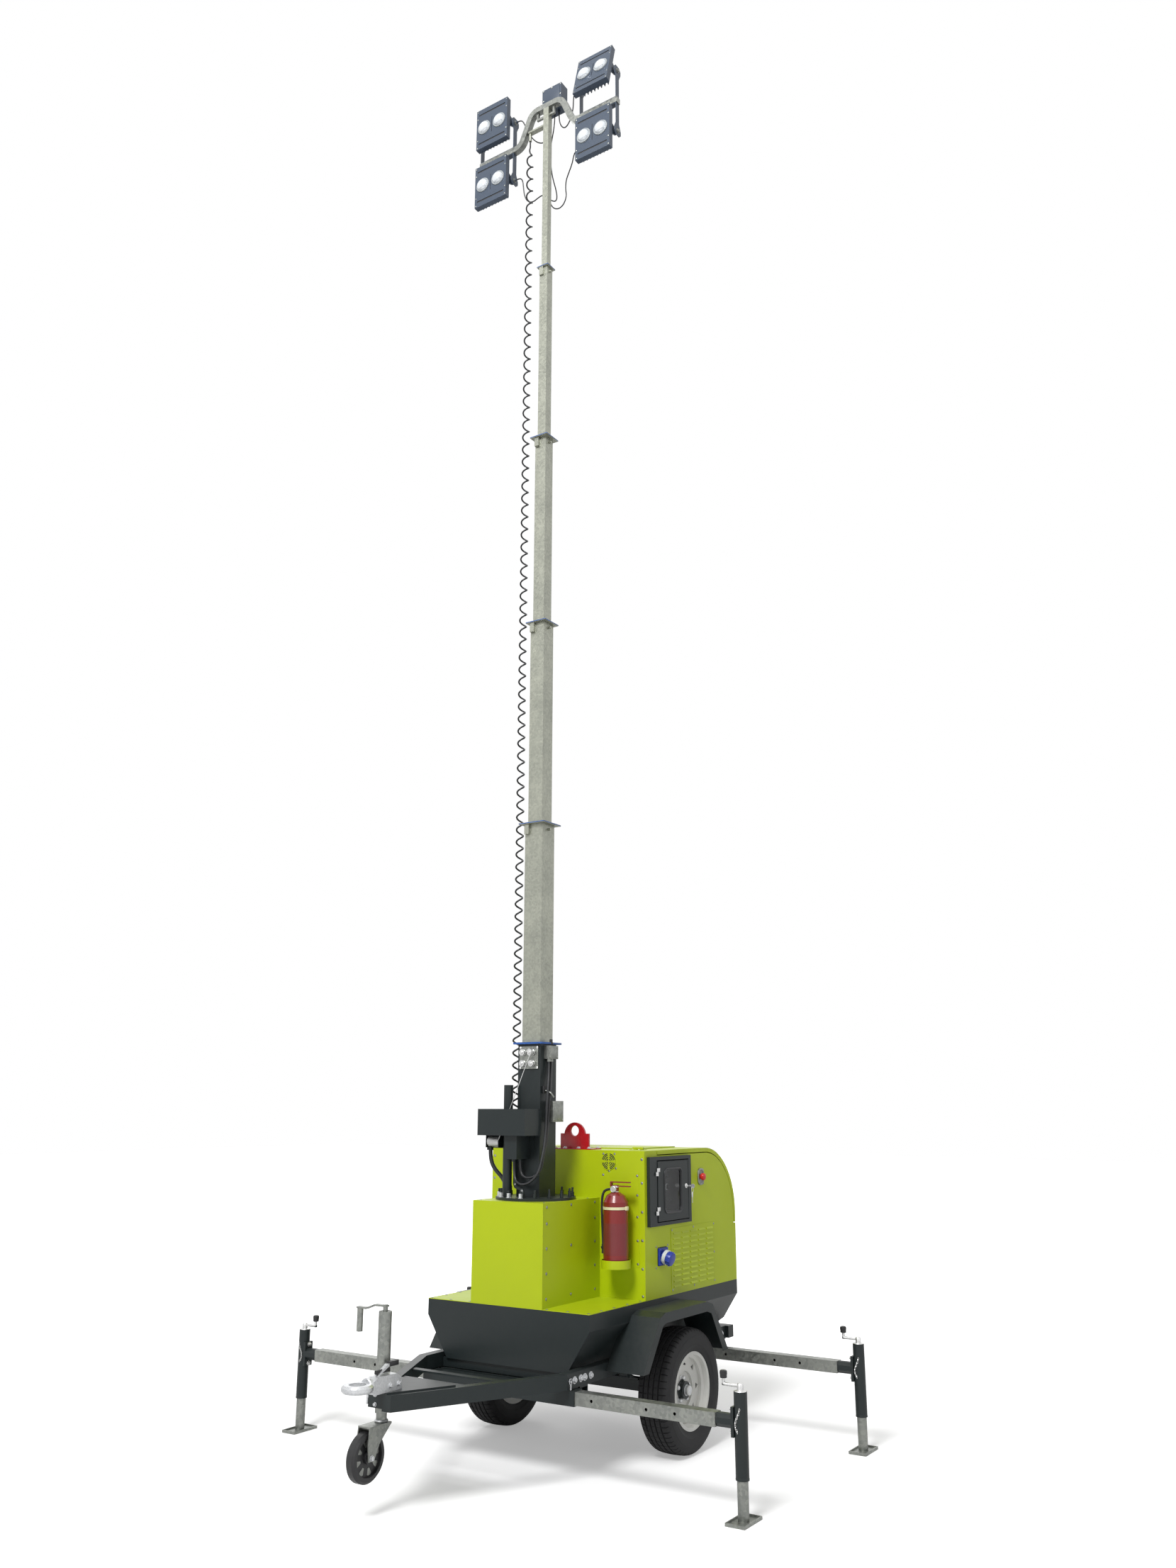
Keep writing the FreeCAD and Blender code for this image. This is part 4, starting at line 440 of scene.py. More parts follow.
def moulded(name, color, roughness, specular=0.5, grain=600.0):
    """Moulded plastic or rubber: a fine even grain and a little unevenness in its sheen."""
    material, tree, shader = base_material(name, specular=specular)
    place = node(tree, "ShaderNodeTexCoord").outputs["Object"]
    cloud = noise(tree, place, 14.0, 4.0)
    lighter = tuple(min(1.0, c * 1.6 + 0.012) for c in color)
    shade = scaled(tree, cloud, 0.35, 0.75, 0.0, 0.6)
    tree.links.new(mixed(tree, shade, color, lighter), shader.inputs["Base Color"])
    sheen = scaled(tree, cloud, 0.3, 0.7, roughness - 0.06, roughness + 0.08)
    tree.links.new(sheen, shader.inputs["Roughness"])
    bumped(tree, shader, noise(tree, place, grain, 2.0), 0.2, 0.0004)
    return material


frame_paint = paint("frame_paint", (0.012, 0.018, 0.019), 0.38, coat=0.05, dust=0.04, mottle=0.15, peel=0.5,
                    specular=0.35)
canopy_paint = paint("canopy_paint", (0.44, 0.54, 0.002), 0.42, coat=0.06, dust=0.03, mottle=0.05, peel=0.4,
                     specular=0.35)
lamp_paint = paint("lamp_paint", (0.045, 0.065, 0.10), 0.42, dust=0.12, mottle=0.12, peel=0.7)
red_paint = paint("red_paint", (0.50, 0.006, 0.012), 0.26, coat=0.5, dust=0.10, mottle=0.06, peel=0.2)
wheel_paint = paint("wheel_paint", (0.66, 0.66, 0.63), 0.42, dust=0.22, mottle=0.12, peel=0.3)
blue_collar = paint("blue_collar_paint", (0.02, 0.09, 0.33), 0.45, dust=0.18, mottle=0.12)
galvanised = zinc("galvanised", (0.36, 0.37, 0.34), (0.20, 0.21, 0.20), 70.0)
mast_zinc = zinc("mast_zinc", (0.43, 0.44, 0.37), (0.28, 0.29, 0.25), 90.0, metallic=0.75)
cast_zinc = zinc("cast_zinc", (0.72, 0.73, 0.74), (0.50, 0.51, 0.53), 160.0, metallic=0.9)
chrome = zinc("polished_steel", (0.78, 0.78, 0.77), (0.62, 0.62, 0.62), 220.0, metallic=1.0)
tyre_rubber = moulded("tyre_rubber", (0.016, 0.016, 0.017), 0.72, specular=0.35, grain=420.0)
cable_rubber = moulded("cable_rubber", (0.012, 0.013, 0.015), 0.38)
black_plastic = moulded("black_plastic", (0.014, 0.014, 0.015), 0.42)
blue_plastic = moulded("blue_plastic", (0.012, 0.035, 0.30), 0.32)
pale_plastic = moulded("pale_plastic", (0.55, 0.57, 0.58), 0.35)
red_plastic = moulded("red_plastic", (0.55, 0.015, 0.012), 0.3)
engine_iron = moulded("engine_iron", (0.09, 0.09, 0.09), 0.6)
lamp_bezel = moulded("lamp_bezel", (0.30, 0.32, 0.33), 0.4)
strap_metal = moulded("strap_metal", (0.62, 0.58, 0.36), 0.4)
# near-black finish that paints the shade inside the vent's slots
painted_slot_shade = moulded("painted_slot_shade", (0.008, 0.009, 0.008), 0.7)
bottle_paint = paint("bottle_paint", (0.22, 0.010, 0.010), 0.30, coat=0.25, dust=0.05, mottle=0.06, peel=0.2)
band_paint = paint("band_paint", (0.20, 0.014, 0.018), 0.34, coat=0.2, dust=0.06, mottle=0.25, peel=0.1)
print("finishes:", len(bpy.data.materials))

# %% Glass of the door and the lenses
clear_glass, tree, shader = base_material("clear_glass")
shader.inputs["Transmission Weight"].default_value = 1.0
shader.inputs["IOR"].default_value = 1.45
smear = noise(tree, node(tree, "ShaderNodeTexCoord").outputs["Object"], 8.0, 3.0)
tree.links.new(mixed(tree, smear, (0.80, 0.84, 0.85), (0.9, 0.92, 0.92)), shader.inputs["Base Color"])
tree.links.new(scaled(tree, smear, 0.3, 0.7, 0.02, 0.09), shader.inputs["Roughness"])

lens_glass, tree, shader = base_material("lens_glass", metallic=0.35, coat=0.8)
ripple = noise(tree, node(tree, "ShaderNodeTexCoord").outputs["Object"], 30.0, 2.0)
tree.links.new(mixed(tree, ripple, (0.62, 0.66, 0.70), (0.82, 0.85, 0.88)), shader.inputs["Base Color"])
tree.links.new(scaled(tree, ripple, 0.3, 0.7, 0.06, 0.16), shader.inputs["Roughness"])
print("glass made")

# %% [markdown]
# The solids already have the right shapes, so they stay and only change their finish.

# %% Finishes on the solids
FINISH = {
    "frame_paint": frame_paint, "canopy_paint": canopy_paint, "galvanised": galvanised,
    "lamp_paint": lamp_paint, "red_paint": red_paint, "tyre_rubber": tyre_rubber,
    "wheel_paint": wheel_paint, "clear_glass": clear_glass, "blue_plastic": blue_plastic,
    "red_plastic": red_plastic, "cable_rubber": cable_rubber, "engine_iron": engine_iron,
    "black_plastic": black_plastic,
}
slot_of = {part["node"]: part["material_slot"] for part in frame["record"]["subparts"]}
OWN = {"coupling": cast_zinc, "extinguisher": bottle_paint}
for name, obj in nodes.items():
    finish = OWN.get(name, FINISH[slot_of[name]])
    if name.startswith("mast_section"):
        finish = mast_zinc
    obj.data.materials.clear()
    obj.data.materials.append(finish)
    obj.data.shade_smooth()
    obj.data.set_sharp_from_angle(angle=math.radians(30))
print("solids finished:", len(nodes))

# %% [markdown]
# ## Cords
# Three cables hang beside the mast's foot, and four leads run from the lamps to the box at the
# head. Each one is a curve on the smooth line of its own control points. A curve with a bevel is
# the easiest way to a round cable, because its line can be changed by moving one point.

# %% Cable curves
def cord_curve(name, thick, route, body, solid):
    """A round cable along a route."""
    places = [mm(*place) for place in route]
    data = route_curve(name, places, 8)
    data.bevel_depth = thick / 2000
    data.bevel_resolution = 2
    data.use_fill_caps = True
    data.materials.append(cable_rubber)
    piece = new_object(name, data)
    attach(piece, body)
    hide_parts(solid)
    line = smooth_line(places)


# %% Cables beside the mast's foot
MAST_CABLES = (
    ("cable_inner", 14.0, (
        (522, 92, 1989), (522, 92, 1940), (546, 105, 1850), (560, 104, 1750), (561, 100, 1650),
        (578, 101, 1560), (600, 100, 1490), (614, 98, 1425), (640, 64, 1387), (650, 14, 1383),
        (642, -22, 1418), (642, -22, 1466))),
    ("cable_outer", 14.0, (
        (548, 92, 1989), (548, 92, 1940), (574, 108, 1850), (586, 107, 1750), (585, 104, 1650),
        (602, 108, 1560), (624, 106, 1480), (646, 98, 1405), (672, 58, 1356), (684, 2, 1350),
        (669, -44, 1392), (669, -44, 1466))),
    ("cable_supply", 22.0, (
        (650, -215, 1522), (650, -215, 1477), (638, -197, 1425), (612, -157, 1378), (600, -139, 1326),
        (600, -139, 1285.3))),
)
for name, thick, route in MAST_CABLES:
    cord_curve(name, thick, route, "chassis", "mast_cables")

# %% Leads of the lamps
LAMP_LEADS = (
    ("lead_lower_right", (
        (525, -252, 7845), (525, -222, 7845), (521, -204, 7820), (514, -202, 7765), (506, -200, 7712),
        (495, -186, 7667), (474, -154, 7655), (454, -122, 7692), (430, -94, 7724), (396, -68, 7694),
        (362, -48, 7690), (346, -40, 7724), (358, -42, 7786), (390, -52, 7870), (420, -48, 7966),
        (446, -38, 8060), (464, -22, 8150), (470, -15, 8225), (470, -15, 8282))),
    ("lead_upper_right", (
        (525, -252, 8315), (525, -224, 8315), (516, -206, 8294), (492, -190, 8225), (464, -150, 8152),
        (444, -100, 8122), (446, -64, 8140), (464, -47, 8190), (470, -45, 8235), (470, -45, 8282))),
    ("lead_lower_left", (
        (525, 252, 7845), (525, 224, 7845), (508, 200, 7830), (482, 172, 7808), (450, 128, 7790),
        (418, 80, 7765), (400, 64, 7715), (404, 76, 7655), (396, 50, 7605), (388, 0, 7592),
        (386, -50, 7625), (390, -78, 7700), (402, -80, 7850), (428, -62, 7990), (454, -12, 8110),
        (470, 20, 8215), (470, 20, 8282))),
    ("lead_upper_left", (
        (525, 252, 8315), (525, 220, 8315), (515, 202, 8292), (494, 186, 8215), (474, 140, 8150),
        (460, 95, 8140), (462, 64, 8175), (470, 55, 8228), (470, 55, 8282))),
)
for name, route in LAMP_LEADS:
    cord_curve(name, 8.0, route, "mast_5", "lamp_leads")

# %% [markdown]
# ## Spiral cable
# The cable that feeds the lamps is wound like a telephone cord, so that it can follow the mast
# up. It hangs from a bracket at the head and stands in the tray on the mast's foot. Its weight
# pulls the upper turns further apart than the lower ones. The tube is swept along a helix about
# an upright axis, which a loop works out turn by turn.

# %% Spiral cable
CABLE_R = 0.0052
COIL_R = 0.025 - CABLE_R
TAIL = 0.045
STEPS = 18
PITCH_LOW, PITCH_HIGH = 0.066, 0.096
coil_low, coil_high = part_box("spiral_cable")
coil_x, coil_y = (coil_low.x + coil_high.x) / 2, (coil_low.y + coil_high.y) / 2
reach = coil_high.z - coil_low.z
height = reach - 2 * TAIL


def on_axis(z):
    """The point of the coil's upright axis at a height above its lower end."""
    return Vector((coil_x, coil_y, coil_low.z + z))


helix = []
z, angle = 0.0, 0.0
while z < height:
    helix.append((angle, z))
    pitch = PITCH_LOW + (PITCH_HIGH - PITCH_LOW) * z / height
    angle += 2 * math.pi / STEPS
    z += pitch / STEPS
route = [on_axis(TAIL * k / 5) for k in range(5)]
for i, (a, z) in enumerate(helix):
    r = COIL_R * min(1.0, i / STEPS, (len(helix) - 1 - i) / STEPS)
    route.append(on_axis(TAIL + z) + Vector((math.cos(a), math.sin(a), 0)) * r)
route += [on_axis(TAIL + height + TAIL * k / 5) for k in range(1, 6)]
bm = bmesh.new()
add_tube(bm, route, CABLE_R, 7)
spiral = finish_piece("spiral_cable_turns", bm, "chassis", cable_rubber, 60)
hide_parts("spiral_cable")
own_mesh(spiral)

# %% [markdown]
# ## Tyres
# A trailer tyre has three grooves all the way round, shoulder ribs cut by short slots, and bulging
# sides with fine rings. The section is written once, as radius and place across, and swept round
# the axle in steps that fall on the edges of the slots. That gives true tread edges with few faces,
# where a displaced surface would need thousands.

# %% Tread and side walls
WHEELS = ((1, "wheel_left"), (-1, "wheel_right"))
WHEEL_Y, WHEEL_Z = 570.5, 307.5
LUGS = 60
# share of a lug's length, and whether the slot is cut there
SLOT_EDGES = ((0.0, 0), (0.03, 1), (0.15, 1), (0.18, 0))
# radius, place across, and how deep a slot cuts the tyre there
TYRE_HALF = (
    (178.8, 60, 0), (180, 69, 0), (187, 76, 0), (196, 79, 0), (197, 81, 0), (205, 83.5, 0), (222, 89, 0),
    (223, 90, 0), (240, 91.8, 0), (252, 92, 0), (264, 90.8, 0), (265, 89.4, 0), (279, 86, 0), (289, 81, 0),
    (292, 80, 3), (298, 75, 6), (302, 67.5, 6), (304.6, 56, 6), (305.4, 47, 5), (298, 46, 0), (298, 40, 0),
    (306, 39, 2), (307, 18, 2), (299.5, 17, 0), (299.5, 11, 0), (307.4, 10, 2))


def tyre_piece(name, side, body):
    section = [(r, -a, d) for r, a, d in TYRE_HALF] + [(r, a, d) for r, a, d in reversed(TYRE_HALF)]
    bm = bmesh.new()
    loops = []
    for i in range(LUGS):
        for part, cut in SLOT_EDGES:
            angle = 2 * math.pi * (i + part) / LUGS
            loop = []
            for r, a, depth in section:
                reach = r - cut * depth
                loop.append(bm.verts.new(mm(reach * math.sin(angle), side * WHEEL_Y + a,
                                            WHEEL_Z + reach * math.cos(angle))))
            loops.append(loop)
    add_skin(bm, loops, closed=True)
    tyre = finish_piece(name, bm, body, tyre_rubber, 28)
    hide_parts(body.replace("wheel", "tyre"))
    return tyre


for side, body in WHEELS:
    tyre = tyre_piece("tread_" + body, side, body)
print("faces of a tyre:", len(tyre.data.polygons))

# %% Hub, nuts and valve
HUB_FACE, RIM_FACE = WHEEL_Y + 12.2, WHEEL_Y + 40
NUTS, NUT_CIRCLE_R = 5, 57.15
HUB = ((0, 47), (4, 47), (8, 43), (28.4, 43), (28.6, 25))
HUB_CAP = ((0, 27), (4, 27), (5, 24.6), (18, 24.6), (22.4, 21), (23.6, 12), (24, 0))
WHEEL_NUT = ((0, 14), (2.5, 14), (4, 11.4), (15, 11.4), (17, 9.5))
STUD_END = ((14, 9.6), (18.6, 8.6), (21, 5), (21.4, 0))
for side, body in WHEELS:
    out = (0, side, 0)
    bm = bmesh.new()
    add_turned(bm, mm(0, side * HUB_FACE, WHEEL_Z), out, HUB, 32)
    finish_piece("hub_" + body, bm, body, frame_paint)
    bm = bmesh.new()
    add_turned(bm, mm(0, side * RIM_FACE, WHEEL_Z), out, HUB_CAP, 28)
    for i in range(NUTS):
        angle = 2 * math.pi * (i + 0.25) / NUTS
        place = mm(NUT_CIRCLE_R * math.cos(angle), side * HUB_FACE, WHEEL_Z + NUT_CIRCLE_R * math.sin(angle))
        add_turned(bm, place, out, WHEEL_NUT, 6)
        add_turned(bm, place, out, STUD_END, 14)
    finish_piece("nuts_" + body, bm, body, cast_zinc)
    bm = bmesh.new()
    stem = ((58, 0, 143), (60, 15, 140), (61, 30, 138))
    add_tube(bm, [mm(x, side * (RIM_FACE + y), WHEEL_Z + z) for x, y, z in stem], 0.0045, 10)
    finish_piece("valve_" + body, bm, body, black_plastic)
print("wheels fitted")

# %% [markdown]
# ## Collars, pulleys and the wire rope
# Each section of the mast carries a collar at its top: two pale plates with a blue sheet between
# them. The lowest collar is blue altogether. Square rings are made from four blocks, two long and
# two short, so that no faces lie inside each other.

# %% Collars
def add_square_ring(bm, half, gap, z):
    add_slab(bm, (MAST_X - half, MAST_X + half), (gap, half), z, 0.6)
    add_slab(bm, (MAST_X - half, MAST_X + half), (-half, -gap), z, 0.6)
    add_slab(bm, (MAST_X - half, MAST_X - gap), (-gap, gap), z)
    add_slab(bm, (MAST_X + gap, MAST_X + half), (-gap, gap), z)


BASE_TOP, STEP = 2083.0, 1239.0
# body, half width of the plate and of its hole
COLLARS = (("mast_1", 87.0, 49.5), ("mast_2", 70.5, 40.0), ("mast_3", 63.0, 30.5), ("mast_4", 42.5, 22.0))
bm = bmesh.new()
add_square_ring(bm, 96.0, 61.0, (BASE_TOP - 1, BASE_TOP + 9))
finish_piece("collar_blue_base", bm, "chassis", blue_collar)
for i, (body, half, gap) in enumerate(COLLARS):
    top = BASE_TOP + STEP * (i + 1)
    bm = bmesh.new()
    add_square_ring(bm, half + 1, gap, (top + 2.2, top + 6.4))
    finish_piece("collar_blue_" + body, bm, body, blue_collar)
    bm = bmesh.new()
    inset = half - 7
    add_screws(bm, (MAST_X - inset, MAST_X + inset), (-inset, inset), (top + 8,), UP, 0.004)
    finish_piece("collar_screws_" + body, bm, body, galvanised)
print("collars:", len(COLLARS) + 1)

# %% Pulleys and wire rope
# place across, height, and how far the axle's end stands out
PULLEYS = ((-34, BASE_TOP - 105, 0), (26, BASE_TOP - 105, 0),
           (-34, BASE_TOP - 46, 0), (26, BASE_TOP - 46, 12))
ROPE_ROUTE = ((629, -2, BASE_TOP - 44), (632, 10, BASE_TOP - 30), (636, 24, BASE_TOP - 28),
              (640, 36, BASE_TOP - 34), (644, 38, BASE_TOP - 48), (645, 33, BASE_TOP - 64), (671, -150, 1572))
ROPE_TURNS = 16
bm = bmesh.new()
for y, z, out in PULLEYS:
    wheel = ((0, 9), (4, 9), (4, 17), (7, 17), (10, 13), (14, 13), (17, 17), (20 + out, 17))
    axle = ((20.5 + out, 8), (27 + out, 8), (28 + out, 5), (28 + out, 0))
    add_turned(bm, mm(606.6, y, z), FORE, wheel + axle, 20)
add_screws(bm, (606.5,), (-56, 56), (BASE_TOP - 127, BASE_TOP - 19), FORE, 0.005)
finish_piece("latch_pulleys", bm, "chassis", chrome)
bm = bmesh.new()
add_tube(bm, [mm(*place) for place in ROPE_ROUTE], 0.002, 8)
finish_piece("wire_rope", bm, "chassis", chrome)
bm = bmesh.new()
for i in range(ROPE_TURNS):
    add_turned(bm, mm(640, -226 + i * 5, 1568), LEFT, ((0, 30), (1.2, 31.6), (3.6, 31.6), (4.8, 30)), 28)
finish_piece("drum_rope", bm, "chassis", chrome)
print("pulleys:", len(PULLEYS), "rope turns:", ROPE_TURNS)

# %% [markdown]
# ## Floodlights
# A lamp is a flat housing with two glass domes in grey bezels, black strips that paint the shade of
# its grooves, and small screws. All four are alike, but one is tilted, so its pieces are made upright round
# the pivot and turned by the same matrix as the solid.

# %% Lamp faces
LAMPS = (("lamp_upper_left", 1, 1, 13.0), ("lamp_upper_right", -1, 1, 0.0),
         ("lamp_lower_left", 1, -1, 0.0), ("lamp_lower_right", -1, -1, 0.0))
DOME = ((4.5, 43), (9, 41.8), (13, 40), (17, 37), (21, 31.5), (24.5, 24), (26.8, 15), (27.8, 7), (28, 0))
BEZEL = ((-0.6, 52), (4.6, 52), (6.4, 50.8), (7.4, 48), (7.4, 45.2), (5.6, 43.2))
PIVOT_NUT = ((0, 17), (2, 17), (2, 11), (9, 11), (10, 9))
LAMP_Y, HEAD_Z, LAMP_RISE = 412.0, 8080.0, 235.0
LAMP_FACE = MAST_X + 85


def lamp_piece(name, bm, lamp, turn, material):
    bmesh.ops.transform(bm, matrix=turn, verts=bm.verts)
    return finish_piece(name + lamp[4:], bm, lamp, material)


for lamp, side, way, tilt in LAMPS:
    y, z = side * LAMP_Y, HEAD_Z + way * LAMP_RISE
    pivot = mm(MAST_X, y, z)
    tip = Matrix.Rotation(math.radians(-tilt), 4, "Y")
    turn = Matrix.Translation(pivot) @ tip @ Matrix.Translation(-pivot)
    domes, bezels, strips, screws = bmesh.new(), bmesh.new(), bmesh.new(), bmesh.new()
    groove = (LAMP_FACE - 4, LAMP_FACE - 2.6)
    for end in (-1, 1):
        centre = mm(LAMP_FACE, y + end * 64, z)
        add_turned(domes, centre, FORE, DOME, 32)
        add_turned(bezels, centre, FORE, BEZEL, 32)
        # black slabs sunk in the grooves above and below: painted shade of the grooves
        add_slab(strips, groove, (y - 112, y + 112), (z + end * 118 - 6, z + end * 118 + 6))
        add_screws(screws, (LAMP_FACE,), (y - 122, y + 122), (z + end * 88, z + end * 148), FORE, 0.004)
        add_turned(screws, mm(MAST_X, y + end * 142, z), (0, end, 0), PIVOT_NUT, 6)
    # a black slab in the upright middle groove: painted shade as well
    add_slab(strips, groove, (y - 2, y + 2), (z - 62, z + 62))
    lamp_piece("domes", domes, lamp, turn, lens_glass)
    lamp_piece("bezels", bezels, lamp, turn, lamp_bezel)
    lamp_piece("strips", strips, lamp, turn, black_plastic)
    lamp_piece("screws", screws, lamp, turn, galvanised)
print("lamps dressed:", len(LAMPS))

# %% Head box
bm = bmesh.new()
add_screws(bm, (506,), (-52, 17, 87), (8310, 8476), FORE, 0.0045)
add_screws(bm, (506,), (-52, 87), (8395,), FORE, 0.0045)
finish_piece("head_box_screws", bm, "mast_5", galvanised)
bm = bmesh.new()
add_slab(bm, (505.4, 507.5), (-46, 81), (8348, 8468), 1.0)
finish_piece("head_box_cover", bm, "mast_5", lamp_paint)
print("head box closed")

# %% [markdown]
# ## Control box
# Behind the window are a display, a row of breakers, a dial and a few switches on a dark plate.
# They are shallow blocks and turned knobs with no writing on them. The window sits in a black
# rubber profile with round corners, which is a tube swept round the same rounded outline.

# %% Control panel behind the glass
def rounded_outline(x0, x1, z0, z1, radius, steps=6):
    """Places in x and z round a rectangle with rounded corners."""
    places = []
    for cx, cz, start in ((x1 - radius, z1 - radius, 0), (x0 + radius, z1 - radius, 90),
                          (x0 + radius, z0 + radius, 180), (x1 - radius, z0 + radius, 270)):
        for i in range(steps + 1):
            a = math.radians(start + 90 * i / steps)
            places.append((cx + radius * math.cos(a), cz + radius * math.sin(a)))
    return places


def add_loop_tube(bm, places, y, radius, sides=8):
    """A closed tube round an outline in x and z."""
    loops = []
    for i, (x, z) in enumerate(places):
        before, after = places[i - 1], places[(i + 1) % len(places)]
        way = Vector((after[0] - before[0], 0, after[1] - before[1])).normalized()
        out = Vector((way.z, 0, -way.x))
        ring = [mm(x, y, z) + around(out, Vector((0, 1, 0)), k, sides) * radius for k in range(sides)]
        loops.append([bm.verts.new(place) for place in ring])
    add_skin(bm, loops, closed=True)


PLATE_Y = 474
BREAKERS = [-25 + i * 13 for i in range(6)]
# place along, height and radius
DIAL = (20, 1398, 17)
KNOBS = ((-20, 1358, 8), (28, 1356, 8), (-60, 1320, 11), (-64, 1372, 7), (-86, 1250, 9))
COLLARED = ((20, 1398, 22), (-20, 1358, 11), (28, 1356, 11), (-60, 1320, 15))
bm = bmesh.new()
add_slab(bm, (-200, 125), (430.5, PLATE_Y), (1160, 1452), 2)
finish_piece("control_plate", bm, "chassis", black_plastic)
bm = bmesh.new()
add_slab(bm, (-28, 52), (PLATE_Y, 484), (1262, 1296), 1.5)
for x in BREAKERS:
    add_slab(bm, (x, x + 11), (PLATE_Y, 480), (1236, 1258), 0.8)
finish_piece("display_and_breakers", bm, "chassis", pale_plastic)
bm = bmesh.new()
for x in BREAKERS:
    add_slab(bm, (x + 3, x + 8), (480, 486), (1244, 1254), 0.6)
for x, z, r in (DIAL, *KNOBS):
    knob = ((0, r * 1.3), (3, r * 1.3), (4, r), (14, r * 0.85), (16, r * 0.6), (16, 0))
    add_turned(bm, mm(x, PLATE_Y, z), LEFT, knob, 22)
finish_piece("control_knobs", bm, "chassis", cable_rubber)
bm = bmesh.new()
for x, z, r in COLLARED:
    add_turned(bm, mm(x, PLATE_Y, z), LEFT, ((0, r * 1.12), (1.6, r * 1.12), (2.2, r * 1.02)), 26)
finish_piece("control_rings", bm, "chassis", chrome)
print("control panel made")

# %% Door: window profile, hinges, lock and keys
bm = bmesh.new()
add_loop_tube(bm, rounded_outline(-130, 62, 1190, 1420, 28), 532, 0.0052)
add_loop_tube(bm, rounded_outline(-124, 56, 1196, 1414, 24), 529, 0.0035)
finish_piece("window_profile", bm, "control_door", cable_rubber, 60)
bm = bmesh.new()
for z in (1205, 1407):
    add_turned(bm, mm(141, 535, z - 20.4), UP, ((0, 3), (0.2, 5.2), (20.2, 5.2), (20.4, 3)), 14)
    add_slab(bm, (142, 160), (535.2, 537), (z - 20, z), 0.5)
finish_piece("door_hinges_fixed", bm, "chassis", chrome)
bm = bmesh.new()
for z in (1205, 1407):
    add_turned(bm, mm(141, 535, z + 0.5), UP, ((0, 3), (0.2, 5.2), (19.6, 5.2), (19.8, 3)), 14)
    add_slab(bm, (115, 140), (534.4, 536), (z + 0.6, z + 20), 0.5)
add_turned(bm, mm(-178, 532, 1322), LEFT, ((0, 13), (3, 13), (5, 11), (6, 8), (6, 0)), 24)
add_turned(bm, mm(-178, 536, 1322), LEFT, ((0, 6), (6, 6), (6.5, 5), (6.5, 0)), 16)
add_slab(bm, (-179, -177), (541, 566), (1318, 1326), 0.4)
add_turned(bm, mm(-178, 577, 1322), FORE, ((-1.2, 9), (-1.2, 11.5), (1.2, 11.5), (1.2, 9)), 20)
add_loop_tube(bm, rounded_outline(-190, -168, 1288, 1316, 10), 573, 0.0009, 6)
add_slab(bm, (-186, -172), (571, 573), (1262, 1290), 0.8)
add_slab(bm, (-181, -177), (571, 573), (1232, 1264), 0.4)
finish_piece("door_lock_and_keys", bm, "control_door", chrome)
bm = bmesh.new()
# a thin near-black tube round the door's outline: painted shade of the gap round the door
add_loop_tube(bm, rounded_outline(-210, 133, 1152, 1460, 4, 2), 532.2, 0.0016, 6)
finish_piece("door_gap_shade", bm, "control_door", frame_paint, 60)
print("door fitted")

# %% [markdown]
# ## Body fittings
# The panels are held by rows of small screws, which a loop places from a short table. The vent's
# ring slots are flat near-black patches of painted shade, the stop button sits in a steel cup, and the socket
# has a ribbed cap.

# %% Panel screws
CANOPY_FRONT, CANOPY_SIDE = 240, 512
bm = bmesh.new()
add_screws(bm, (CANOPY_FRONT,), (-494, 494), (785, 920, 1062, 1205, 1353, 1475), FORE, 0.0055)
add_screws(bm, (CANOPY_FRONT + 2,), (250, 466), (943, 1060, 1180, 1290, 1390), FORE, 0.005)
for y, z in ((250, 1500), (322, 1500), (286, 1410), (330, 1425)):
    add_screw(bm, mm(CANOPY_FRONT, y, z), FORE, 0.0045)
for side in (-1, 1):
    rows = ((-540, (787, 941, 1095)), (-294, (787, 1095)), (-48, (787, 941, 1095)))
    for x, heights in rows:
        add_screws(bm, (x,), (side * CANOPY_SIDE,), heights, (0, side, 0), 0.0045)
add_screws(bm, (-2, 124), (510,), (1022, 915), LEFT, 0.0045)
finish_piece("canopy_screws", bm, "chassis", galvanised)
bm = bmesh.new()
for side in (-1, 1):
    add_screws(bm, (290, 745), (side * 226,), (810, 930, 1050, 1170, 1250), (0, side, 0), 0.006)
    add_screws(bm, (520,), (side * 226,), (810, 1050, 1250), (0, side, 0), 0.006)
add_screws(bm, (765,), (-495, -370, -245, 245, 370, 495), (766,), UP, 0.006)
add_screws(bm, (270, 400, 530, 650), (-495, 495), (766,), UP, 0.006)
add_screws(bm, (330, 740), (-205, 205), (1271,), UP, 0.005)
finish_piece("deck_screws", bm, "chassis", galvanised)
print("screws placed")

# %% Vent slots and hinge screws
VENT_X, VENT_Y, VENT_Z = CANOPY_FRONT + 4.25, 286, 1461
VENT_RINGS, VENT_QUARTERS, SLOT_HALF, SLOT_STEPS = (12, 22, 32, 40), 4, 2.6, 8
bm = bmesh.new()
# flat near-black quads on the panel: painted shade where the slots are dark inside
for ring in VENT_RINGS:
    for part in range(VENT_QUARTERS):
        first, last = 90 * part + 10 + 60 / ring, 90 * part + 80 - 60 / ring
        edges = []
        for k in range(SLOT_STEPS + 1):
            a = math.radians(first) + (math.radians(last) - math.radians(first)) * k / SLOT_STEPS
            for r in (ring - SLOT_HALF, ring + SLOT_HALF):
                edges.append(bm.verts.new(mm(VENT_X, VENT_Y + r * math.cos(a), VENT_Z + r * math.sin(a))))
        for k in range(SLOT_STEPS):
            bm.faces.new((edges[2 * k], edges[2 * k + 1], edges[2 * k + 3], edges[2 * k + 2]))
finish_piece("vent_slots", bm, "chassis", painted_slot_shade)
bm = bmesh.new()
for y in (-390, 390):
    add_screws(bm, (74, 128), (y - 20, y + 20), (1522,), UP, 0.004)
finish_piece("hinge_screws", bm, "chassis", chrome)
print("vent slots:", len(VENT_RINGS) * VENT_QUARTERS)

# %% Stop button
STOP_X, STOP_Z = -392, 1361
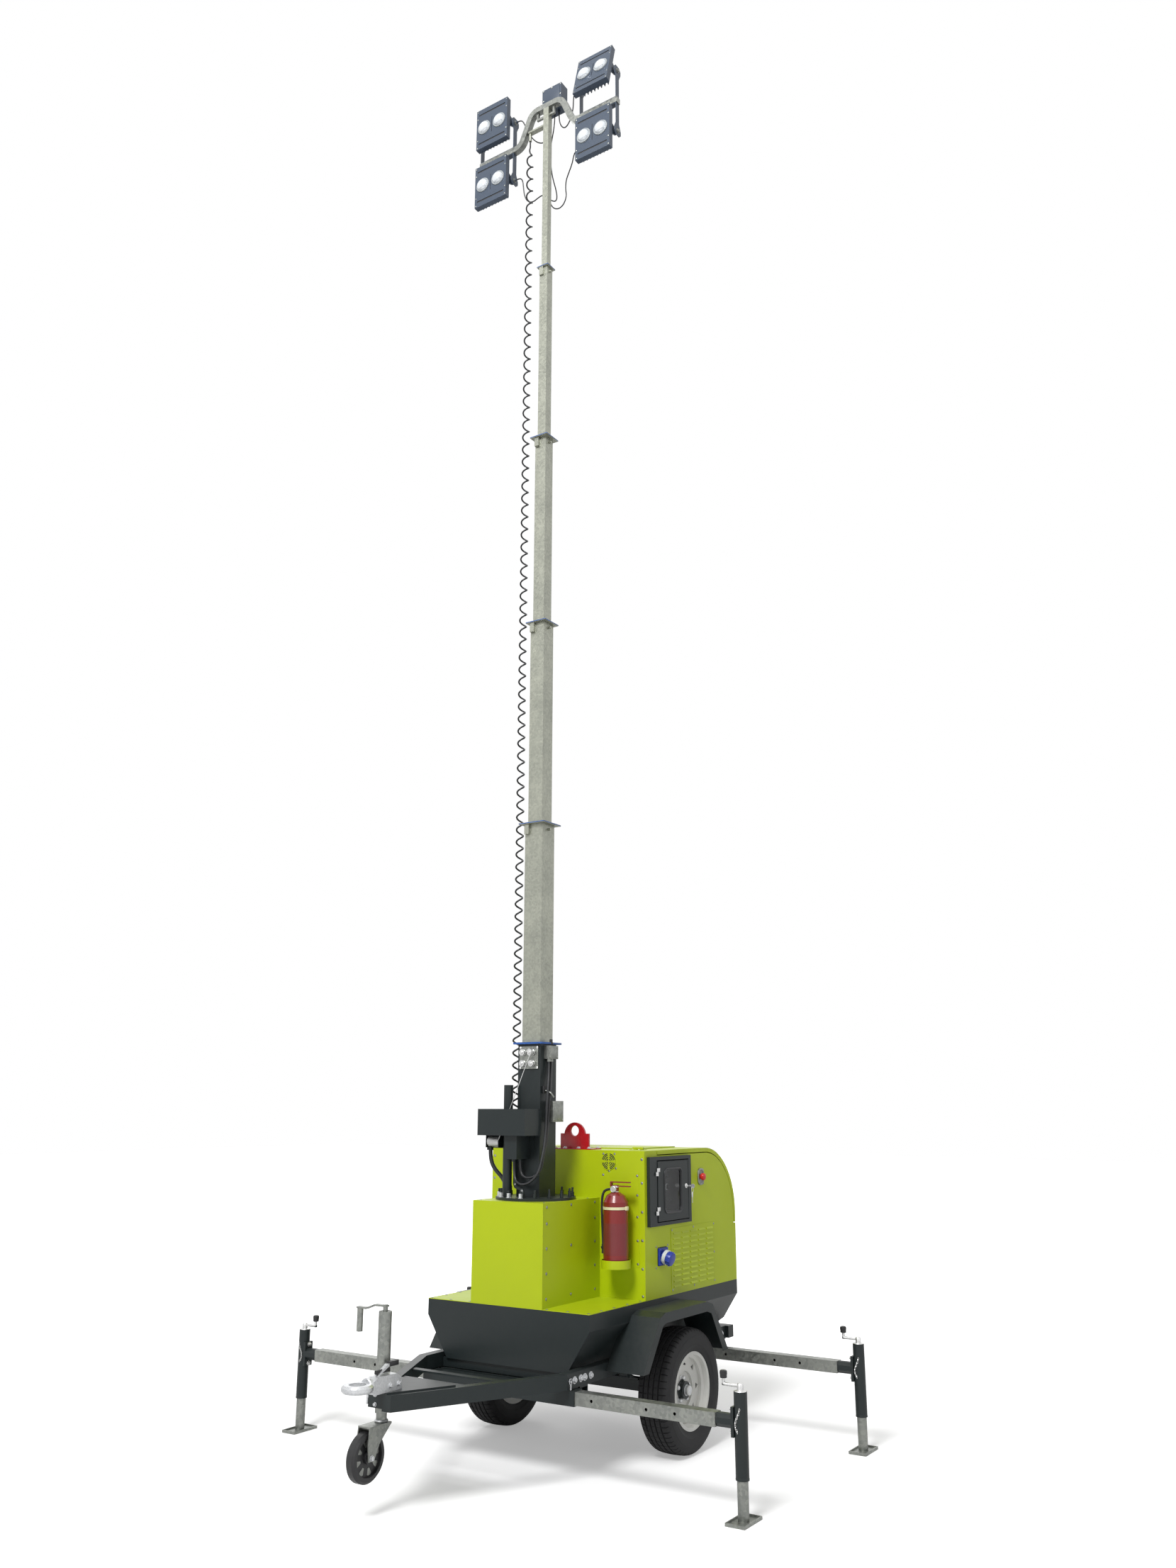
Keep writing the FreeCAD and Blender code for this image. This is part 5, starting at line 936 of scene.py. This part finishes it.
# place across, and how far the cup's outline is drawn in there
CUP = ((510.3, 0), (516, 0), (518, 3), (518, 9), (512.5, 14))
STOP_KNOB = ((0, 12), (10, 12), (10, 19), (20, 20), (26, 18), (28, 12), (28.5, 0))
bm = bmesh.new()
outline = rounded_outline(STOP_X - 34, STOP_X + 34, STOP_Z - 46, STOP_Z + 46, 26, 8)
loops = []
for y, inset in CUP:
    loop = []
    for x, z in outline:
        out = Vector((x - STOP_X, 0, z - STOP_Z)).normalized()
        loop.append(bm.verts.new(mm(x, y, z) - out * inset / 1000))
    loops.append(loop)
add_skin(bm, loops)
bm.faces.new(loops[-1])
add_screws(bm, (STOP_X - 24, STOP_X + 24), (517.5,), (STOP_Z - 38, STOP_Z + 38), LEFT, 0.003)
cup = finish_piece("stop_cup", bm, "chassis", galvanised)
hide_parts("stop_button")
bm = bmesh.new()
add_turned(bm, mm(STOP_X, 512, STOP_Z), LEFT, STOP_KNOB, 28)
knob = finish_piece("stop_knob", bm, "chassis", red_plastic)
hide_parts("stop_button")
print("stop button made")

# %% Socket
SOCKET_X, SOCKET_Z, CAP_RIBS = 61, 970, 12
bm = bmesh.new()
way = Vector((0, 49, -14)).normalized()
start = mm(SOCKET_X, 521, SOCKET_Z)
add_turned(bm, start, way, ((6, 33.4), (7, 38), (24, 39), (26, 37), (26, 33.4)), 36)
finish_piece("socket_ring", bm, "chassis", pale_plastic)
bm = bmesh.new()
add_turned(bm, start, way, ((30, 33.6), (50, 34.6), (53, 33), (54.5, 28), (55, 0)), 36)
side = way.orthogonal().normalized()
for i in range(CAP_RIBS):
    out = around(side, way.cross(side), i, CAP_RIBS)
    add_rod(bm, start + way * 0.031 + out * 0.0342, start + way * 0.0515 + out * 0.0348, 0.0024, 8)
add_screws(bm, (SOCKET_X - 37, SOCKET_X + 37), (522,), (SOCKET_Z - 35, SOCKET_Z + 35), LEFT, 0.004)
finish_piece("socket_cap", bm, "chassis", blue_plastic)
bm = bmesh.new()
add_loop_tube(bm, rounded_outline(13, 109, 924, 1016, 8, 3), 511, 0.0018, 6)
finish_piece("socket_gasket", bm, "chassis", cable_rubber, 60)
print("socket made")

# %% [markdown]
# ## Extinguisher
# The bottle stands in its ring and is held by a strap near the top. Its valve has a round gauge, and
# a short stiff hose runs down from it to a nozzle in a clip. The bottle carries a bare band of a
# duller red where a real one has its instructions.

# %% Valve, strap and hose
EXT_X, EXT_Y, EXT_TOP = 332.0, 385.0, 1265.0
STRAP_R, STRAP_LOW, STRAP_HIGH, STRAP_STEPS = 67.2, 1222, 1236, 24
VALVE = ((0, 17.5), (8, 17.5), (10, 15), (26, 15), (28, 18), (36, 18), (38, 14))
GAUGE = ((0, 12), (20, 12), (20, 17), (28, 17), (29, 15), (27, 14), (27, 0))
HOSE_R = 0.0065
# places of the hose from the bottle's middle and its top
HOSE_ROUTE = ((0, -24, 58), (0, -52, 58), (2, -80, 40), (4, -86, -20), (4, -84, -90), (3, -80, -170),
              (2, -78, -230))
bm = bmesh.new()
add_turned(bm, mm(EXT_X, EXT_Y, EXT_TOP + 40), UP, VALVE, 24)
add_turned(bm, mm(EXT_X, EXT_Y, EXT_TOP + 60), FORE, GAUGE, 24)
add_turned(bm, mm(EXT_X, EXT_Y, EXT_TOP + 58), (0, -1, 0), ((0, 8), (26, 8), (28, 7)), 16)
finish_piece("extinguisher_valve", bm, "chassis", chrome)
bm = bmesh.new()
loops = []
for k in range(STRAP_STEPS + 1):
    a = math.radians(20 + 320 * k / STRAP_STEPS) + math.pi
    x, y = EXT_X + STRAP_R * math.cos(a), EXT_Y + STRAP_R * math.sin(a)
    low, high = mm(x, y, STRAP_LOW), mm(x, y, STRAP_HIGH)
    out = Vector((x - EXT_X, y - EXT_Y, 0)).normalized() * 0.0016
    loops.append([bm.verts.new(place) for place in (low, low + out, high + out, high)])
add_skin(bm, loops)
add_slab(bm, (242, 272), (EXT_Y - 12, EXT_Y + 12), (STRAP_LOW, STRAP_HIGH), 0.5)
add_slab(bm, (324, 346), (EXT_Y + 66, EXT_Y + 76), (STRAP_LOW - 3, STRAP_HIGH + 3), 1.5)
finish_piece("extinguisher_strap", bm, "chassis", strap_metal)
hose_places = [mm(EXT_X + x, EXT_Y + y, EXT_TOP + z) for x, y, z in HOSE_ROUTE]
hose_line = smooth_line(hose_places, 8)
bm = bmesh.new()
add_tube(bm, hose_line, HOSE_R, 12)
hose = finish_piece("extinguisher_hose", bm, "chassis", cable_rubber, 60)
bm = bmesh.new()
nozzle_top = mm(EXT_X + 2, EXT_Y - 78, EXT_TOP - 222)
add_turned(bm, nozzle_top, (0, 0, -1), ((0, 8.5), (10, 8.5), (12, 7.5), (44, 9), (46, 7.5)), 18)
add_slab(bm, (EXT_X - 6, EXT_X + 10), (EXT_Y - 88, EXT_Y - 64), (EXT_TOP - 244, EXT_TOP - 232), 1)
nozzle = finish_piece("extinguisher_nozzle", bm, "chassis", black_plastic)
bm = bmesh.new()
add_turned(bm, mm(EXT_X, EXT_Y, 995), UP, ((0, 66.2), (0.4, 66.7), (158, 66.7), (158.4, 66.2)), 48)
finish_piece("extinguisher_band", bm, "chassis", band_paint)

# %% [markdown]
# ## Jacks and outriggers
# The four jacks are alike, so one loop dresses them: a zinc crank with a black grip, zinc bolts on
# the web, a lip round the tube's mouth, a ring on the arm's end and a fine chain that hangs by the
# leg. Each piece rides with its own jack or arm.

# %% Jacks
JACKS = (("front_left", 1, 835.0, 1345.0), ("front_right", -1, 745.0, 1440.0),
         ("rear_left", 1, -560.0, 1355.0), ("rear_right", -1, -650.0, 1440.0))
CRANK_Z, ARM_Z, WEB_BOLT_RISE = 547, 400, 49
CRANK_BOSS = ((0, 29), (3, 27), (6, 14), (28, 14), (33, 11), (35, 6), (35, 0))
CRANK_GRIP = ((0, 10), (2, 15.4), (14, 15.8), (20, 17), (30, 16), (33, 12), (33.6, 0))
WEB_NUT = ((0, 13), (2, 13), (2, 9.2), (10, 9.2), (12, 6), (16, 6))
TUBE_LIP = ((0, 25.6), (0, 30.4), (7, 31), (9, 30.2), (9, 25.6))
ARM_LIP = ((0, 20.5), (0, 28), (4, 28), (5, 20.5))
for corner, side, x, foot in JACKS:
    y, start, knob = side * foot, side * (foot - 30), side * (foot - 82)
    jack, arm = "jack_" + corner, "arm_" + corner
    bm = bmesh.new()
    crank = ((y - side * 4, CRANK_Z), (y - side * 50, CRANK_Z), (y - side * 72, CRANK_Z), (knob, CRANK_Z + 2),
             (knob, CRANK_Z + 10), (knob, CRANK_Z + 26))
    add_tube(bm, [mm(x, across, z) for across, z in crank], 0.0072, 12)
    add_turned(bm, mm(x, y, 524), UP, CRANK_BOSS, 20)
    for z in (ARM_Z - WEB_BOLT_RISE, ARM_Z + WEB_BOLT_RISE):
        add_turned(bm, mm(x, start - side * 8, z), (0, -side, 0), WEB_NUT, 6)
        add_rod(bm, mm(x, start + side * 14, z), mm(x, start - side * 20, z), 0.0055, 12)
    finish_piece("crank_" + corner, bm, jack, chrome)
    bm = bmesh.new()
    add_turned(bm, mm(x, knob, CRANK_Z + 24), UP, CRANK_GRIP, 20)
    finish_piece("crank_grip_" + corner, bm, jack, black_plastic)
    bm = bmesh.new()
    add_turned(bm, mm(x, y, 167.6), UP, TUBE_LIP, 32)
    finish_piece("jack_lip_" + corner, bm, jack, frame_paint)
    bm = bmesh.new()
    arm_end = side * (foot - 115)
    add_turned(bm, mm(x, arm_end + side * 0.6, ARM_Z), (0, side, 0), ARM_LIP, 28)
    add_slab(bm, (x - 29, x + 29), sorted((arm_end - side * 8.5, arm_end + side * 0.5)), (371, 429), 1.2)
    finish_piece("arm_end_" + corner, bm, arm, galvanised)
print("jacks dressed:", len(JACKS))

# %% Chains on the jacks
# place from the leg's middle, and height, of each link
CHAIN = ((0, 455), (2, 446), (5, 437), (9, 429), (13, 421), (17, 413), (20, 405), (22, 396), (22, 387),
         (20, 378), (16, 370), (11, 363))
LINK_HALF_WIDTH, LINK_HALF_LENGTH, LINK_STEPS = 0.0032, 0.0062, 10
for corner, side, x, foot in JACKS:
    bm = bmesh.new()
    for k, (inward, z) in enumerate(CHAIN):
        turned = k % 2
        centre = mm(x + 31 + (1.5 if turned else 0), side * (foot - inward + 8), z)
        wide = Vector((LINK_HALF_WIDTH, 0, 0) if turned else (0, LINK_HALF_WIDTH, 0))
        link = [centre + around(wide, Vector((0, 0, LINK_HALF_LENGTH)), i, LINK_STEPS)
                for i in range(LINK_STEPS)]
        add_tube(bm, link + link[:1], 0.0011, 5)
    finish_piece("chain_" + corner, bm, "jack_" + corner, chrome)
print("chains made")

# %% [markdown]
# ## Frame fittings
# The outriggers' sockets are bolted through the rails, with a spring pin that locks the arm. Flange
# studs, rear lamps and the junction plate are placed by short tables as well.

# %% Bolts, pins and studs
bm = bmesh.new()
for corner, side, x, foot in JACKS:
    rail = side * 460
    for along in (-52, 2):
        add_bolt(bm, mm(x + along, rail, 476), (0, side, 0), 0.0115, 0.011)
        add_bolt(bm, mm(x + along, -rail, 476), (0, -side, 0), 0.0115, 0.011)
    add_rod(bm, mm(x + 46, rail - side * 2, 476), mm(x + 46, rail + side * 14, 476), 0.005, 12)
    add_loop_tube(bm, rounded_outline(x + 36, x + 56, 464, 490, 9), rail + side * 9, 0.0016, 6)
    add_loop_tube(bm, rounded_outline(x + 42, x + 50, 440, 466, 4), rail + side * 9, 0.0016, 6)
finish_piece("frame_bolts", bm, "chassis", cast_zinc)
FLANGE_BOLTS, FLANGE_BOLT_R, FLANGE_TOP = 16, 197, 1285
BRIGHT_NUTS = (13, 14, 15, 0)
FLANGE_NUT = ((0, 14), (2.5, 14), (2.5, 10.6), (22.6, 10.6), (24, 8))
bm = bmesh.new()
studs = bmesh.new()
for i in range(FLANGE_BOLTS):
    a = 2 * math.pi * (i + 0.5) / FLANGE_BOLTS
    place = mm(MAST_X + FLANGE_BOLT_R * math.cos(a), FLANGE_BOLT_R * math.sin(a), FLANGE_TOP)
    if i in BRIGHT_NUTS:
        add_turned(bm, place, UP, FLANGE_NUT, 6)
    end = 34 + 5 * (i % 3)
    add_turned(studs, place, UP, ((20, 5.6), (end, 5.6), (end + 2, 4)), 12)
finish_piece("flange_nuts", bm, "chassis", cast_zinc)
finish_piece("flange_studs", studs, "chassis", frame_paint)
bm = bmesh.new()
for x in (132, 222):
    for y in (-85, -15, 75, 145):
        add_bolt(bm, mm(x, y, 1525), UP, 0.009, 0.008)
finish_piece("lifting_eye_bolts", bm, "chassis", cast_zinc)
print("bolts and studs placed")

# %% Junction plate, small box and its lever
bm = bmesh.new()
add_slab(bm, (478, 566), (105, 107.5), (2005, 2072), 1)
add_screws(bm, (487, 557), (107.5,), (2014, 2063), LEFT, 0.005)
add_slab(bm, (438, 537), (115, 116.5), (1672, 1778), 1)
add_screws(bm, (446, 529), (116.5,), (1680, 1770), LEFT, 0.004)
add_tube(bm, [mm(566, 78, 1835), mm(566, 100, 1832), mm(560, 116, 1822), mm(540, 122, 1800)], 0.005, 10)
finish_piece("base_plates", bm, "chassis", galvanised)
bm = bmesh.new()
add_slab(bm, (548, 584), (75.3, 88), (1820, 1858), 2)
add_turned(bm, mm(523, 90, 2083.4), UP, ((0, 13), (8, 13), (10, 9), (24, 9), (26, 6)), 8)
finish_piece("base_switch", bm, "chassis", black_plastic)
print("junction plate and box covered")

# %% Rear lamps
LAMP_BACK = -825.5
bm = bmesh.new()
for side in (-1, 1):
    add_slab(bm, (LAMP_BACK - 0.1, -820.5), sorted((side * 372, side * 478)), (448, 507), 2)
finish_piece("rear_lamp_lenses", bm, "chassis", red_plastic)
bm = bmesh.new()
for side in (-1, 1):
    for along in (400, 450):
        add_turned(bm, mm(LAMP_BACK, side * along, 478), (-1, 0, 0), ((0, 17), (0.3, 17), (0.4, 14)), 24)
finish_piece("rear_lamp_rings", bm, "chassis", pale_plastic)
print("rear lamps made")

# %% [markdown]
# ## Jockey wheel and coupling
# The jockey wheel's disc has eight pale wedges between its black spokes. The coupling is a bright
# casting with a black grip on its lever, four bolts and a collar behind the eye.

# %% Jockey wheel
JOCKEY_X, JOCKEY_Y, JOCKEY_Z = 1717, -62, 250
WEDGES = 8
# radius and angle of a wedge's corners
WEDGE = ((44, -0.10), (44, 0.10), (70, 0.19), (75, 0.10), (75, -0.10), (70, -0.19))
AXLE_NUT = ((0, 14), (2, 14), (2, 11), (9, 11), (10, 8))
CLAMP_NUT = ((0, 10), (2, 10), (2, 7.5), (9, 7.5), (10, 5))
bm = bmesh.new()
for i in range(WEDGES):
    middle = 2 * math.pi * (i + 0.3) / WEDGES
    corners = [(JOCKEY_X + r * math.sin(middle + a), JOCKEY_Z + r * math.cos(middle + a)) for r, a in WEDGE]
    for side in (-1, 1):
        loops = [[bm.verts.new(mm(x, JOCKEY_Y + side * out, z)) for x, z in corners] for out in (9.8, 11.2)]
        add_skin(bm, loops)
        bm.faces.new(loops[-1])
finish_piece("jockey_wedges", bm, "jockey_wheel", galvanised)
bm = bmesh.new()
for side in (-1, 1):
    add_turned(bm, mm(JOCKEY_X, JOCKEY_Y + side * 36.2, JOCKEY_Z), (0, side, 0), AXLE_NUT, 6)
add_turned(bm, mm(1622, JOCKEY_Y, 377), UP, ((0, 29), (5, 31), (9, 29), (10, 25)), 28)
finish_piece("jockey_nuts", bm, "jockey_fork", cast_zinc)
bm = bmesh.new()
for z in (455, 495):
    add_turned(bm, mm(1666.5, JOCKEY_Y, z), FORE, CLAMP_NUT, 6)
add_rod(bm, mm(1640, -107, 475), mm(1640, -135, 475), 0.007, 12)
add_rod(bm, mm(1640, -133, 445), mm(1640, -133, 505), 0.006, 12)
finish_piece("jockey_clamp_bolts", bm, "chassis", cast_zinc)
print("jockey wheel dressed")

# %% Coupling
bm = bmesh.new()
for x in (1612, 1668):
    for y in (-27, 27):
        add_bolt(bm, mm(x, y, 542), (0, 1 if y > 0 else -1, 0), 0.009, 0.008)
add_turned(bm, mm(1785, 0, 558), FORE, ((0, 24.4), (0, 33), (14, 33), (17, 29), (17, 24.4)), 32)
finish_piece("coupling_bolts", bm, "chassis", cast_zinc)
bm = bmesh.new()
add_slab(bm, (1600, 1662), (-12, 12), (617, 639), 3)
add_slab(bm, (1650, 1744), (-6, 6), (596, 612), 2)
finish_piece("coupling_grip", bm, "chassis", black_plastic)
print("coupling dressed")

# %% [markdown]
# ## Floor, background and light
# A plain pale floor holds the shadow. To the camera it glows a little, and more with distance, so
# that it meets the white background without an edge while the shadow stays. The background is
# white to the camera, and also to reflections and to what is seen through glass.

# %% Floor
floor_mesh = bpy.data.meshes.new("floor")
bm = bmesh.new()
bmesh.ops.create_grid(bm, x_segments=1, y_segments=1, size=40.0)
bm.to_mesh(floor_mesh)
bm.free()
floor = new_object("floor", floor_mesh)
floor.location = (0, 0, -0.0005)
floor_white, tree, shader = base_material("floor_white")
shader.inputs["Base Color"].default_value = (0.90, 0.90, 0.90, 1)
shader.inputs["Roughness"].default_value = 0.9
shader.inputs["Emission Color"].default_value = (1.0, 1.0, 1.0, 1)
GLOW_NEAR, GLOW_FAR = 0.33, 1.0
FADE_START, FADE_END = 2.2, 6.0
distance = node(tree, "ShaderNodeVectorMath", operation="LENGTH")
tree.links.new(node(tree, "ShaderNodeTexCoord").outputs["Object"], distance.inputs[0])
glow = scaled(tree, distance.outputs["Value"], FADE_START, FADE_END, GLOW_NEAR, GLOW_FAR)
to_camera = node(tree, "ShaderNodeLightPath").outputs["Is Camera Ray"]
tree.links.new(maths(tree, "MULTIPLY", glow, to_camera), shader.inputs["Emission Strength"])
floor_mesh.materials.append(floor_white)

# %% World and lamps
world = bpy.data.worlds.new("pale_world")
bpy.context.scene.world = world
world.use_nodes = True
tree = world.node_tree
background = tree.nodes["Background"]
paths = node(tree, "ShaderNodeLightPath")
seen = maths(tree, "MAXIMUM", paths.outputs["Is Camera Ray"], paths.outputs["Is Transmission Ray"])
seen = maths(tree, "MAXIMUM", seen, paths.outputs["Is Glossy Ray"])
WORLD_LIGHT, WORLD_SEEN = 0.30, 1.0
strength = scaled(tree, seen, 0.0, 1.0, WORLD_LIGHT, WORLD_SEEN)
tree.links.new(strength, background.inputs["Strength"])
background.inputs["Color"].default_value = (1.0, 1.0, 1.0, 1)


def soft_lamp(name, place, target, size, power):
    data = bpy.data.lights.new(name, "AREA")
    data.shape = "DISK"
    data.size = size
    data.energy = power
    lamp = new_object(name, data)
    lamp.location = place
    lamp.rotation_euler = (Vector(target) - Vector(place)).to_track_quat("-Z", "Y").to_euler()


soft_lamp("key_lamp", (11.0, 2.0, 13.0), (0.0, 0.0, 2.5), 5.0, 2100)
soft_lamp("fill_lamp", (1.0, 12.0, 6.0), (0.0, 0.0, 3.0), 7.0, 110)
soft_lamp("back_lamp", (-9.0, -8.0, 10.0), (0.0, 0.0, 3.0), 7.0, 300)
bpy.context.scene.view_settings.view_transform = "Standard"
print("lamps:", len(bpy.data.lights))
